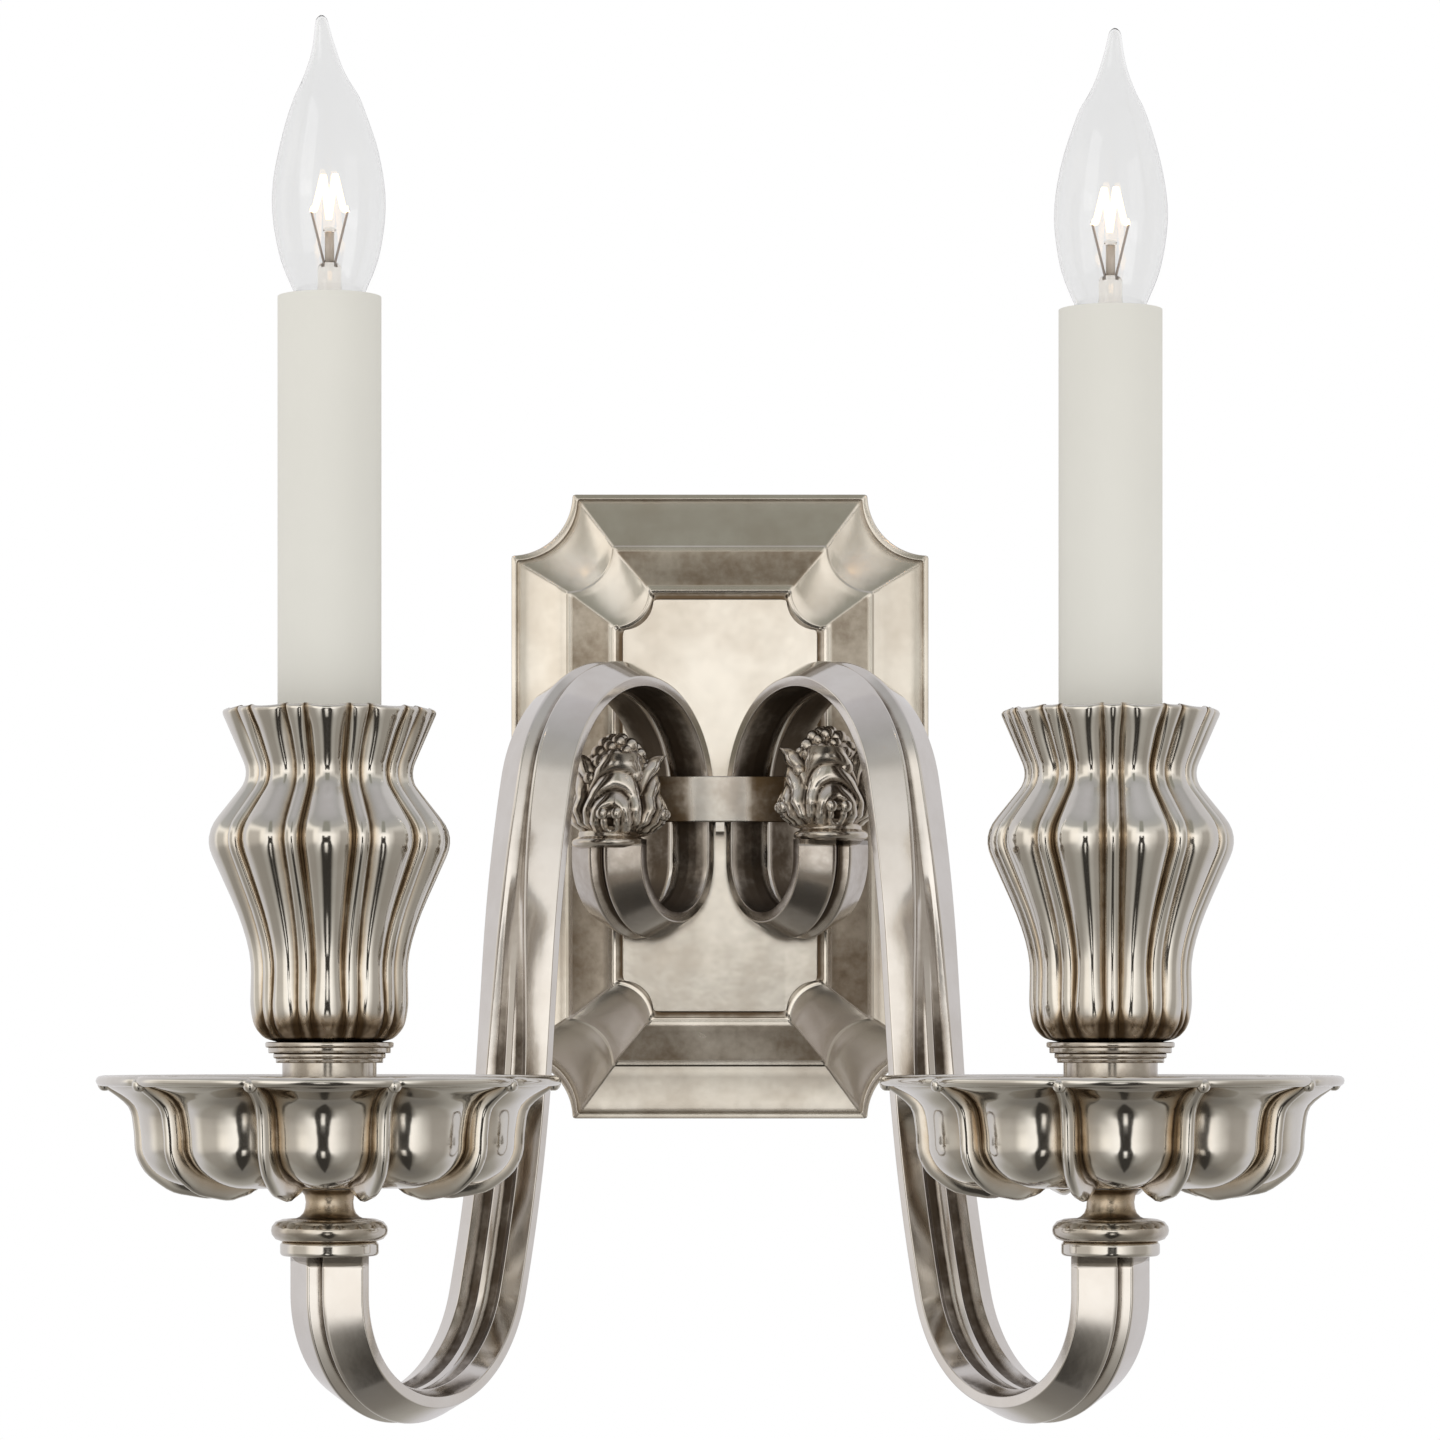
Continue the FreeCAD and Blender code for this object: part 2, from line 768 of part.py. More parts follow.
def nipple_solid(x, first_y, last_y, outer, inner):
    tube = Part.makeCylinder(outer, last_y - first_y, Vector(x, first_y, BOSS_UP), Vector(0, 1, 0))
    bore = Part.makeCylinder(inner, last_y - first_y, Vector(x, first_y, BOSS_UP), Vector(0, 1, 0))
    return tube.cut(bore)


def hexagon_prism(across_flats, height, bore, base, axis):
    radius = across_flats / math.sqrt(3.0)
    frame = Placement(base, Rotation(Vector(0, 0, 1), axis))
    corners = [
        Vector(radius * math.cos(math.radians(60 * i)), radius * math.sin(math.radians(60 * i)), 0)
        for i in range(6)
    ]
    prism = Part.Face(closed_wire(corners)).extrude(Vector(0, 0, height))
    prism = prism.cut(Part.makeCylinder(bore, height))
    prism.Placement = frame
    return prism


def make_arm_fixings():
    first = -val("panel_front") - val("thread_depth")
    back = -val("panel_back") + val("locknut_height") + val("nipple_tail")
    nipples, nuts = [], []
    for x in (-val("arm_root_across"), val("arm_root_across")):
        nipples.append(nipple_solid(x, first, back, val("nipple_radius"), val("nipple_bore")))
        base = Vector(x, -val("panel_back"), BOSS_UP)
        nuts.append(
            hexagon_prism(
                val("locknut_across_flats"), val("locknut_height"), val("nipple_radius"), base, Vector(0, 1, 0)
            )
        )
    coded("arm_nipples", Part.makeCompound(nipples))
    coded("arm_locknuts", Part.makeCompound(nuts))


make_arm_fixings()

# The band bears on the near edges of the two back limbs, where the crown begins to lean out.
CROWN_RISE = val("band_rise") - val("arm_root_up")
CROWN_LEAN = val("crown_back_radius") - math.sqrt(val("crown_back_radius") ** 2 - CROWN_RISE**2)
BAND_BACK = (
    val("arm_root_out")
    + math.sin(ARM_ANGLE) * val("arm_width") / 2.0
    + math.cos(ARM_ANGLE) * (val("arm_edge") / 2.0 + CROWN_LEAN)
    + val("band_gap")
)
band_back = add_size("band_back", BAND_BACK)


def make_band():
    """A flat strap, gently bowed, seen from the front over both scrolls."""
    body = new_body("arm_band")
    sketch = new_sketch(body, "band_plan", "XY_Plane", size["band_rise"] - size["band_height"])
    half, back = size["band_half_width"], band_back
    front = back + size["band_thickness"]
    bow = size["band_bow"]
    path = [
        (Size.of(0), -back, half, -(back - bow)),
        (half, -(front - bow)),
        (Size.of(0), -front, -half, -(front - bow)),
        (-half, -(back - bow)),
    ]
    draw_outline(sketch, path)
    pad = body.newObject("PartDesign::Pad", "band_pad")
    pad.Profile = sketch
    pad.setExpression("Length", size["band_height"].text)
    return body


def make_lug():
    """The thin web between the two arms that ties the band to the plate."""
    lug = doc.addObject("Part::Box", "band_lug")
    lug.Label = "band_lug"
    height = size["band_height"] + size["lug_tail"]
    low = size["band_rise"] - height
    lug_front = band_back - size["lug_fit"]
    for prop, amount in (
        ("Length", size["lug_width"]),
        ("Width", lug_front - size["panel_front"]),
        ("Height", height),
        ("Placement.Base.x", -(size["lug_width"] / 2.0)),
        ("Placement.Base.y", -lug_front),
        ("Placement.Base.z", low),
    ):
        lug.setExpression(prop, amount.text)
    return lug


make_band()
make_lug()


# ---------------------------------------------------------------------------------------------
# Bud

BUD_FOOT_POINT = in_arm_plane(ARM_PATH[0].s, 0, ARM_PATH[0].z)
bud_x = add_size("bud_axis_x", BUD_FOOT_POINT.x)
bud_y = add_size("bud_axis_y", BUD_FOOT_POINT.y)
bud_z = add_size("bud_foot_z", BUD_FOOT_POINT.z)


def make_collar():
    bead = size["collar_bead"]
    rim = size["collar_radius"] - bead
    top = bead * 2.0 + size["collar_disc"]
    path = [
        (Size.of(0), top),
        (Size.of(0), Size.of(0)),
        (rim, Size.of(0)),
        (size["collar_radius"], bead, rim, bead * 2.0),
        (size["collar_neck"], bead * 2.0),
        (size["collar_neck"], top),
    ]
    return revolved("left_bud_collar", path, (bud_x, bud_y, bud_z))


def leaf(turn, reach, height, width):
    """One leaf: it hugs the bud, then its tip curls out."""
    thickness, curl = val("bud_leaf_thickness"), val("bud_tip_curl")
    belly, throat, foot = val("bud_belly"), val("bud_throat"), val("bud_foot")
    stations = (
        (0.02, foot, 0.55, 0.8),
        (0.30, belly - 0.4, 1.0, 1.1),
        (0.62, (belly + throat) / 2.0 + reach * 0.5, 0.95, 1.0),
        (0.88, throat + reach, 0.6, 0.8),
        (1.00, throat + reach + curl, 0.22, 0.45),
    )
    rings = []
    for share, out, wide, thick in stations:
        ellipse = Part.Ellipse(Vector(0, 0, 0), width * wide, thickness * thick)
        ring = Part.Wire(ellipse.toShape())
        ring.Placement = Placement(
            Vector(out, 0, height * share), Rotation(Vector(0, 0, 1), 90)
        )
        rings.append(ring)
    solid = Part.makeLoft(rings, True, False)
    solid.rotate(Vector(0, 0, 0), Vector(0, 0, 1), turn)
    return solid


def make_bud():
    height = val("bud_height")
    profile = Part.BSplineCurve()
    profile.interpolate(
        [
            Vector(val("bud_foot"), 0, 0),
            Vector(val("bud_belly"), 0, height * 0.3),
            Vector(val("bud_throat") + 1.6, 0, height * 0.68),
            Vector(val("bud_throat"), 0, height * 0.88),
        ]
    )
    top, foot = Vector(0, 0, height * 0.88), Vector(0, 0, 0)
    edges = [
        profile.toShape(),
        Part.makeLine(Vector(val("bud_throat"), 0, height * 0.88), top),
        Part.makeLine(top, foot),
        Part.makeLine(foot, Vector(val("bud_foot"), 0, 0)),
    ]
    core = Part.Face(Part.Wire(edges)).revolve(Vector(0, 0, 0), Vector(0, 0, 1), 360)
    parts = []
    for number in range(5):
        parts.append(leaf(72 * number - 60, val("bud_leaf_reach"), height * 0.92, val("bud_leaf_width")))
    berry = val("bud_berry")
    for number in range(6):
        angle = math.radians(60 * number + 15)
        spread = val("bud_throat") - berry * 0.8
        at = Vector(spread * math.cos(angle), spread * math.sin(angle), height - berry)
        parts.append(Part.makeSphere(berry, at))
    parts.append(Part.makeSphere(berry * 1.1, Vector(0, 0, height - berry)))
    bud = core.multiFuse(parts)
    eye_at = Vector(0, -val("bud_belly") - 6.0, height * 0.16)
    bud = bud.cut(Part.makeCylinder(val("bud_eye"), 9.0, eye_at, Vector(0, 1, 0)))
    bud.Placement = Placement(
        Vector(bud_x.value, bud_y.value, bud_z.value + 2 * val("collar_bead") + val("collar_disc")),
        Rotation(),
    )
    return bud


mirrored("right_bud_collar", make_collar())
left_bud = coded("left_bud", make_bud())
mirrored("right_bud", left_bud)


# ---------------------------------------------------------------------------------------------
# The stack on each candle axis. Heights are from the arm's end.

CAP_TOP = size["cap_height"]
STEM_TOP = CAP_TOP + size["stem_height"]
DISH_FLOOR = STEM_TOP + size["dish_wall"]
RIM_TOP = STEM_TOP + size["dish_depth"]
NECK_TOP = RIM_TOP + size["neck_above_dish"]
WASHER_TOP = NECK_TOP + size["washer_height"]
CUP_FOOT = WASHER_TOP + size["foot_ring_height"]
CUP_FLOOR = CUP_FOOT + size["cup_floor"]
SLEEVE_TOP = CUP_FLOOR + size["sleeve_length"]
NUT_TOP = CUP_FLOOR + size["cup_nut_height"]
ROD_TOP = NUT_TOP + size["rod_above_nut"]
ROD_HOLE = size["rod_radius"] + size["rod_fit"]


def on_axis(axis_x, lift=0):
    return (axis_x, axis_y, arm_end_z + lift)


def make_cap(side, axis_x):
    low, high = Size.of(0), CAP_TOP
    edge, round_off = size["cap_radius"], size["cap_round"]
    slant = round_off * (1.0 - math.sqrt(0.5))
    path = [
        (ROD_HOLE, high),
        (ROD_HOLE, CAP_TOP - size["rod_tail"]),
        (size["wireway"] / 2.0, CAP_TOP - size["rod_tail"]),
        (size["wireway"] / 2.0, low),
        (edge - round_off, low),
        (edge - slant, low + slant, edge, low + round_off),
        (edge, high - round_off),
        (edge - slant, high - slant, edge - round_off, high),
    ]
    revolved(side + "_arm_cap", path, on_axis(axis_x))


def make_stem(side, axis_x):
    bead = size["stem_bead"]
    bead_top = CAP_TOP + bead * 2.0
    flare_top = bead_top + size["stem_flare_height"]
    waist = flare_top + size["stem_waist_height"]
    path = [
        (ROD_HOLE, STEM_TOP),
        (ROD_HOLE, CAP_TOP),
        (size["stem_bead_radius"], CAP_TOP),
        (size["stem_bead_radius"] + bead, CAP_TOP + bead, size["stem_bead_radius"], bead_top),
        (size["stem_flare"], bead_top),
        (size["stem_flare"] - 1.1, flare_top),
        (size["stem_waist"], waist),
        (size["stem_head"], STEM_TOP),
    ]
    revolved(side + "_stem", path, on_axis(axis_x))


def lobed_ring(radius, height, lobe_depth, rib_width, rib_share):
    """A closed ring of wide lobes with a narrow rib between each two. The ribs stand out by a
    share of the lobes' depth."""
    count = int(round(val("flute_count")))
    edges = []
    step = 2.0 * math.pi / count
    rib_angle = rib_width / radius
    inner = radius - lobe_depth
    for number in range(count):
        middle = math.pi * 1.5 + number * step

        def at(angle, distance):
            return Vector(distance * math.cos(angle), distance * math.sin(angle), height)

        lobe_end = middle + (step - rib_angle) / 2.0
        lobe_start = middle - (step - rib_angle) / 2.0
        next_start = lobe_start + step
        edges.append(Part.Arc(at(lobe_start, inner), at(middle, radius), at(lobe_end, inner)).toShape())
        rib_top = at(middle + step / 2.0, inner + lobe_depth * rib_share)
        edges.append(Part.Arc(at(lobe_end, inner), rib_top, at(next_start, inner)).toShape())
    return Part.Wire(edges)


def cup_rings(shrink, floor, overshoot):
    """The cup's outline from foot to rim, as (radius, height, lobe depth)."""
    base, barrel = val("cup_base_radius"), val("cup_barrel_radius")
    belly, waist, rim = val("cup_belly_radius"), val("cup_waist_radius"), val("cup_rim_radius")
    barrel_top, belly_up = val("cup_barrel_top"), val("cup_belly_height")
    waist_up, top = val("cup_waist_height"), val("cup_height")
    lobe = val("cup_lobe_depth")
    shape = (
        (base, 0.0, 0.3),
        ((base + barrel) / 2.0 + 1.0, 2.6, 0.45),
        (barrel, 8.5, 0.6),
        (barrel, barrel_top - 2.0, 0.75),
        ((barrel * 2.0 + belly) / 3.0 - 0.5, (barrel_top * 2.0 + belly_up) / 3.0 + 2.4, 0.9),
        ((barrel + belly * 2.0) / 3.0 + 0.6, (barrel_top + belly_up * 2.0) / 3.0 + 0.2, 1.0),
        (belly, belly_up, 1.0),
        ((belly + waist) / 2.0 + 0.3, (belly_up + waist_up) / 2.0 + 0.4, 0.9),
        (waist, waist_up, 0.8),
        ((waist + rim) / 2.0 + 0.4, (waist_up + top) / 2.0 + 0.4, 0.9),
        (rim, top, 1.0),
    )
    rings = []
    for radius, height, share in shape:
        if floor and height < floor:
            continue
        if height == top:
            height += overshoot
        rings.append((radius - shrink, height, lobe * share))
    if floor:
        rings.insert(0, (barrel - shrink, floor, 0.3 * lobe))
    return rings


def fluted_cup():
    rib = val("cup_rib_width"), val("cup_rib_share")
    outside = [lobed_ring(*ring, *rib) for ring in cup_rings(0.0, 0.0, 0.0)]
    wall = val("cup_wall")
    inside = [lobed_ring(*ring, *rib) for ring in cup_rings(wall, val("cup_floor"), 0.5)]
    cup = Part.makeLoft(outside, True, False).cut(Part.makeLoft(inside, True, False))
    return cup.cut(Part.makeCylinder(val("rod_radius") + val("rod_fit"), val("cup_floor") * 3.0))


def ribbed_dish():
    """The drip dish: scooped petals between raised ribs, under a round rolled rim."""
    wall, depth, drop = val("dish_wall"), val("dish_depth"), val("rim_slope")
    rib = val("dish_rib_depth")
    rib_shape = val("dish_rib_width"), val("dish_rib_share")
    edge, belly, foot = val("dish_radius"), val("dish_belly_radius"), val("dish_foot_radius")
    floor = val("dish_floor_radius")
    body = depth - drop
    outline = (
        (floor, 0.0, 0.3),
        (foot, 1.4, 1.0),
        (belly - 6.4, 5.4, 1.3),
        (belly - 1.6, 11.4, 1.2),
        (belly, 18.6, 1.0),
        (edge, body, 1.0),
    )
    outside = [lobed_ring(radius, height, rib * share, *rib_shape) for radius, height, share in outline]
    inside = [
        lobed_ring(radius - wall, height + wall * (1.0 - height / body), rib * share, *rib_shape)
        for radius, height, share in outline
    ]
    inside.append(lobed_ring(edge - wall, body + 1.0, rib, *rib_shape))
    dish = Part.makeLoft(outside, True, False).cut(Part.makeLoft(inside, True, False))
    lip, rim = val("rim_lip"), val("rim_radius")
    inner = edge - rib - wall
    brim = [
        Vector(inner, 0, body - 0.6),
        Vector(edge + 0.4, 0, body - 0.6),
        Vector(rim - lip, 0, depth - 1.6 * lip),
        Vector(rim - lip, 0, depth - lip * 0.4),
        Vector(edge - 1.0, 0, body + 1.0),
        Vector(inner, 0, body + 1.0),
    ]
    brim = Part.Face(closed_wire(brim)).revolve(Vector(0, 0, 0), Vector(0, 0, 1), 360)
    roll = Part.makeTorus(rim - lip, lip, Vector(0, 0, depth - lip))
    dish = dish.fuse(brim).fuse(roll)
    return dish.cut(Part.makeCylinder(val("rod_radius") + val("rod_fit"), depth, Vector(0, 0, -1)))


def placed(shape, axis_x, lift):
    copy = shape.copy()
    copy.Placement = Placement(
        Vector(axis_x.value, axis_y.value, arm_end_z.value + float(lift)), Rotation()
    )
    return copy


def make_sleeve(side, axis_x, drop):
    length = size["sleeve_length"] - drop
    inner = size["sleeve_radius"] - size["sleeve_wall"]
    path = tube_path(inner, size["sleeve_radius"], CUP_FLOOR, CUP_FLOOR + length)
    revolved(side + "_candle_sleeve", path, on_axis(axis_x))


def make_holder(side, axis_x, drop):
    """The lampholder: a leg on the hollow rod, an insulating body and a thin screw shell."""
    top = SLEEVE_TOP - drop - size["holder_below_sleeve_top"]
    low = top - size["holder_height"]
    bore = size["lamp_cap_radius"] + size["lamp_gap"]
    seat = low + size["holder_floor"]
    leg = [
        (size["rod_radius"], low),
        (size["rod_radius"], ROD_TOP - size["leg_overlap"]),
        (size["leg_radius"], ROD_TOP - size["leg_overlap"]),
        (size["leg_radius"], low),
    ]
    revolved(side + "_lampholder_leg", leg, on_axis(axis_x))
    shell_outer = bore + size["shell_wall"]
    post = size["contact_post_radius"] + size["lamp_gap"]
    body = [
        (post, seat),
        (post, low),
        (size["holder_radius"], low),
        (size["holder_radius"], top),
        (shell_outer, top),
        (shell_outer, seat),
    ]
    revolved(side + "_lampholder_body", body, on_axis(axis_x))
    shell_low = seat + size["contact_travel"] + size["lamp_eyelet_height"]
    revolved(side + "_screw_shell", tube_path(bore, shell_outer, shell_low, top), on_axis(axis_x))
    return top, seat


def make_lamp(side, axis_x, holder_top, seat, lean):
    cap_top = holder_top + size["lamp_cap_above_holder"]
    cap_low = cap_top - size["lamp_cap_height"]
    eyelet = cap_low - size["lamp_eyelet_height"]
    contact_top = eyelet - size["lamp_gap"]
    contact_low = contact_top - size["contact_thickness"]
    contact = [
        (Size.of(0), contact_top),
        (Size.of(0), seat - size["holder_floor"] / 2.0),
        (size["contact_post_radius"], seat - size["holder_floor"] / 2.0),
        (size["contact_post_radius"], contact_low),
        (size["lamp_eyelet_radius"], contact_low),
        (size["lamp_eyelet_radius"], contact_top),
    ]
    revolved(side + "_centre_contact", contact, on_axis(axis_x))
    cap = [
        (Size.of(0), cap_top),
        (Size.of(0), eyelet),
        (size["lamp_eyelet_radius"], eyelet),
        (size["lamp_eyelet_radius"] + 0.8, cap_low),
        (size["lamp_cap_radius"], cap_low + 1.6),
        (size["lamp_cap_radius"], cap_top),
    ]
    revolved(side + "_lamp_cap", cap, on_axis(axis_x))
    coded(side + "_lamp_glass", placed(lamp_glass(lean), axis_x, cap_top))
    coded(side + "_lamp_mount", placed(lamp_mount(), axis_x, cap_top))
    coded(side + "_support_wires", placed(support_wires(), axis_x, cap_top))
    coded(side + "_filament", placed(filament(), axis_x, cap_top))


def glass_rings(shrink):
    """The flame-shaped glass from neck to tip, as (radius, height, how far the tip leans)."""
    neck, base, belly = val("lamp_neck_radius"), val("lamp_base_radius"), val("lamp_belly_radius")
    tip, length, belly_up = val("lamp_tip_radius"), val("lamp_length"), val("lamp_belly_height")
    upper = length - belly_up
    rings = (
        (neck, 0.0, 0.0),
        (neck + 1.2, belly_up * 0.10, 0.0),
        (base, belly_up * 0.24, 0.0),
        (base + (belly - base) * 0.68, belly_up * 0.54, 0.0),
        (belly, belly_up, 0.0),
        (belly * 0.875, belly_up + upper * 0.27, 0.05),
        (belly * 0.605, belly_up + upper * 0.54, 0.18),
        (belly * 0.28, belly_up + upper * 0.76, 0.45),
        (belly * 0.175, belly_up + upper * 0.87, 0.72),
        (tip, length, 1.0),
    )
    return [(radius - shrink, height, lean) for radius, height, lean in rings]


def lamp_glass(lean):
    def loft(shrink, top_gap):
        wires = []
        for radius, height, share in glass_rings(shrink):
            if height == val("lamp_length"):
                height -= top_gap
            centre = Vector(lean * val("tip_lean") * share, 0, height)
            wires.append(Part.Wire(Part.Circle(centre, Vector(0, 0, 1), radius).toShape()))
        return Part.makeLoft(wires, True, False)

    wall = val("lamp_glass_wall")
    return loft(0.0, 0.0).cut(loft(wall, wall * 2.0))


def lamp_mount():
    """The glass stem inside the lamp, with the thin rod that stands on it."""
    radius, height = val("lamp_stem_radius"), val("lamp_stem_height")
    wall_room = val("lamp_neck_radius") - val("lamp_glass_wall")
    flare, rod_radius = val("lamp_stem_flare"), val("lamp_rod_radius")
    stem = Part.makeCone(wall_room, radius, flare)
    upper = Part.makeCone(radius, rod_radius, height - flare, Vector(0, 0, flare))
    rod = Part.makeCylinder(rod_radius, val("lamp_rod_height"), Vector(0, 0, height))
    return stem.fuse(upper).fuse(rod)


def round_bar(points, radius, bend):
    """A thin wire along straight runs with rounded corners."""
    edges, last = [], points[0]
    for before, corner, after in zip(points, points[1:], points[2:]):
        run_in, run_out = (corner - before).normalize(), (after - corner).normalize()
        half_turn = run_in.getAngle(run_out) / 2.0
        setback = bend * math.tan(half_turn)
        start, end = corner - run_in * setback, corner + run_out * setback
        inward = (run_out - run_in).normalize()
        middle = corner + inward * (bend / math.cos(half_turn) - bend)
        edges += [Part.makeLine(last, start), Part.Arc(start, middle, end).toShape()]
        last = end
    edges.append(Part.makeLine(last, points[-1]))
    return swept_round(Part.Wire(edges), radius)


def support_wires():
    """The two wires that rise from the glass stem, sealed into it at the foot."""
    low = val("lamp_stem_height") - val("support_depth")
    wires = []
    for sign in (-1, 1):
        foot = Vector(sign * val("support_foot"), 0, low)
        top = Vector(sign * val("support_spread"), 0, val("support_top"))
        axis = top - foot
        wires.append(Part.makeCylinder(val("support_wire"), axis.Length, foot, axis))
    return Part.makeCompound(wires)


def filament():
    """The filament: from one wire's end over two peaks, with a dip between, to the other's."""
    end, low = val("support_spread"), val("support_top") - val("filament_overlap")
    spread, peak = val("filament_spread"), val("filament_top")
    points = [
        Vector(-end, 0, low),
        Vector(-spread, 0, peak),
        Vector(0, 0, val("filament_dip")),
        Vector(spread, 0, peak),
        Vector(end, 0, low),
    ]
    return round_bar(points, val("filament_wire"), val("filament_bend"))


def make_rod(side, axis_x):
    low = CAP_TOP - size["rod_tail"]
    revolved(side + "_hollow_rod", tube_path(size["rod_bore"], size["rod_radius"], low, ROD_TOP),
             on_axis(axis_x))


def make_candle(side, axis_x, lean, drop):
    make_cap(side, axis_x)
    make_stem(side, axis_x)
    coded(side + "_drip_dish", placed(DISH, axis_x, STEM_TOP))
    neck_inner = size["neck_radius"] - size["neck_wall"]
    revolved(side + "_neck_tube", tube_path(neck_inner, size["neck_radius"], DISH_FLOOR, NECK_TOP),
             on_axis(axis_x))
    revolved(side + "_washer", tube_path(ROD_HOLE, size["washer_radius"], NECK_TOP, WASHER_TOP),
             on_axis(axis_x))
    revolved(side + "_foot_ring", tube_path(ROD_HOLE, size["foot_ring_radius"], WASHER_TOP, CUP_FOOT),
             on_axis(axis_x))
    coded(side + "_fluted_cup", placed(CUP, axis_x, CUP_FOOT))
    make_sleeve(side, axis_x, drop)
    make_rod(side, axis_x)
    top, seat = make_holder(side, axis_x, drop)
    make_lamp(side, axis_x, top, seat, lean)


DISH = ribbed_dish()
CUP = fluted_cup()
make_candle("left", left_axis_x, -1.0, Size.of(0))
make_candle("right", right_axis_x, 0.6, size["right_candle_drop"])


def make_cup_nuts():
    nuts = []
    for axis_x in (left_axis_x, right_axis_x):
        base = Vector(axis_x.value, axis_y.value, arm_end_z.value + float(CUP_FLOOR))
        nuts.append(
            hexagon_prism(
                val("cup_nut_across_flats"), val("cup_nut_height"), val("rod_radius"), base, Vector(0, 0, 1)
            )
        )
    coded("cup_nuts", Part.makeCompound(nuts))


make_cup_nuts()


# ---------------------------------------------------------------------------------------------
# Mounting bar, terminal block and small fasteners behind the plate


def draw_slot(sketch, centre, straight, radius):
    path = [
        (radius, centre + straight),
        (Size.of(0), centre + straight + radius, -radius, centre + straight),
        (-radius, centre - straight),
        (Size.of(0), centre - straight - radius, radius, centre - straight),
    ]
    draw_outline(sketch, path)


def make_bar():
    body = new_body("mounting_bar")
    wall = size["plate_wall"]
    half_up = size["plate_height"] / 2.0 - wall - size["bar_end_gap"]
    half = size["bar_width"] / 2.0
    thick = size["bar_thickness"]
    outline = new_sketch(body, "bar_outline", "XZ_Plane")
    draw_outline(outline, [(half, -half_up), (half, half_up), (-half, half_up), (-half, -half_up)])
    pad = body.newObject("PartDesign::Pad", "bar_pad")
    pad.Profile = outline
    pad.setExpression("Length", thick.text)
    window = new_sketch(body, "bar_window", "XZ_Plane")
    across, up = size["bar_window_width"] / 2.0, size["bar_window_height"] / 2.0
    draw_outline(window, [
        (across, boss_up - up), (across, boss_up + up), (-across, boss_up + up), (-across, boss_up - up),
    ])
    cut_through(body, window, "bar_window_cut", thick)
    slots = new_sketch(body, "bar_slots", "XZ_Plane")
    radius = size["box_slot_width"] / 2.0
    straight = size["box_slot_length"] / 2.0 - radius
    for sign in (-1, 1):
        centre = sign * size["box_screw_spacing"] / 2.0
        draw_slot(slots, centre, straight, radius)
    cut_through(body, slots, "bar_slots_cut", thick)
    hole = new_sketch(body, "ground_hole", "XZ_Plane")
    draw_circle(hole, 0, -size["ground_screw_down"], size["ground_screw_radius"])
    cut_through(body, hole, "ground_hole_cut", thick)
    tabs = new_sketch(body, "bar_tabs", "XZ_Plane")
    tab = size["bar_tab_width"] / 2.0
    for sign in (-1, 1):
        end, inner = sign * half_up, sign * (half_up - size["bar_tab_height"])
        draw_outline(tabs, [(tab, end), (-tab, end), (-tab, inner), (tab, inner)])
    tab_pad = body.newObject("PartDesign::Pad", "bar_tab_pad")
    tab_pad.Profile = tabs
    tab_pad.setExpression("Length", size["bar_tab_depth"].text)
    grubs = new_sketch(body, "bar_grub_holes", "XY_Plane")
    draw_circle(grubs, 0, -grub_out, size["grub_radius"])
    cut_through(body, grubs, "bar_grub_cut", size["plate_height"])
    return body


def make_terminal_block():
    """Where the two arms' wires meet the supply: a block with an entry for each wire below and
    for the supply above, on the mounting bar."""
    across, up, deep = val("block_width"), val("block_height"), val("block_depth")
    back = -val("bar_thickness")
    low = val("block_up") - up / 2.0
    block = Part.makeBox(across, deep, up, Vector(-across / 2.0, back - deep, low))
    screws = []
    for x in (-val("arm_root_across"), 0.0, val("arm_root_across")):
        hole = Part.makeCylinder(val("block_hole") / 2.0, up, Vector(x, -val("lead_out"), low))
        block = block.cut(hole)
        head = Vector(x, back - deep, val("block_up"))
        screws.append(
            Part.makeCylinder(val("block_screw_radius"), val("block_screw_head"), head, Vector(0, -1, 0))
        )
    coded("terminal_block", block)
    coded("terminal_screws", Part.makeCompound(screws))


def make_small_screws():
    thick = val("bar_thickness")
    down = -val("ground_screw_down")
    head = Part.makeCylinder(
        val("ground_head_radius"), val("ground_head_height"), Vector(0, -thick, down), Vector(0, -1, 0)
    )
    shank = Part.makeCylinder(val("ground_screw_radius"), thick, Vector(0, 0, down), Vector(0, -1, 0))
    coded("ground_screw", head.fuse(shank))
    grubs = []
    length, outer = val("grub_length"), val("plate_height") / 2.0
    for base in (-outer, outer - length):
        grubs.append(Part.makeCylinder(val("grub_radius"), length, Vector(0, -float(grub_out), base)))
    coded("grub_screws", Part.makeCompound(grubs))


make_bar()
make_terminal_block()
make_small_screws()


def finish():
    doc.recompute()
    os.makedirs("parts", exist_ok=True)
    kept = []
    for item in doc.Objects:
        if "Invalid" in item.State or "Error" in item.State:
            raise RuntimeError(item.Name + " " + str(item.State))
        in_body = item.isDerivedFrom("PartDesign::Feature") or item.isDerivedFrom("Sketcher::SketchObject")
        if item.isDerivedFrom("Part::Feature") and not in_body:
            kept.append(item)
    for item in kept:
        shape = item.Shape
        if shape.isNull() or not shape.isValid() or not shape.Solids:
            raise RuntimeError(item.Label + " has no sound solid")
    for item in kept:
        item.Shape.exportStep(os.path.join("parts", item.Label + ".step"))
        print(item.Label, len(item.Shape.Solids), round(item.Shape.Volume, 1))


finish()
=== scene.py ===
import json
from math import ceil, cos, degrees, exp, hypot, pi, radians, sin, sqrt

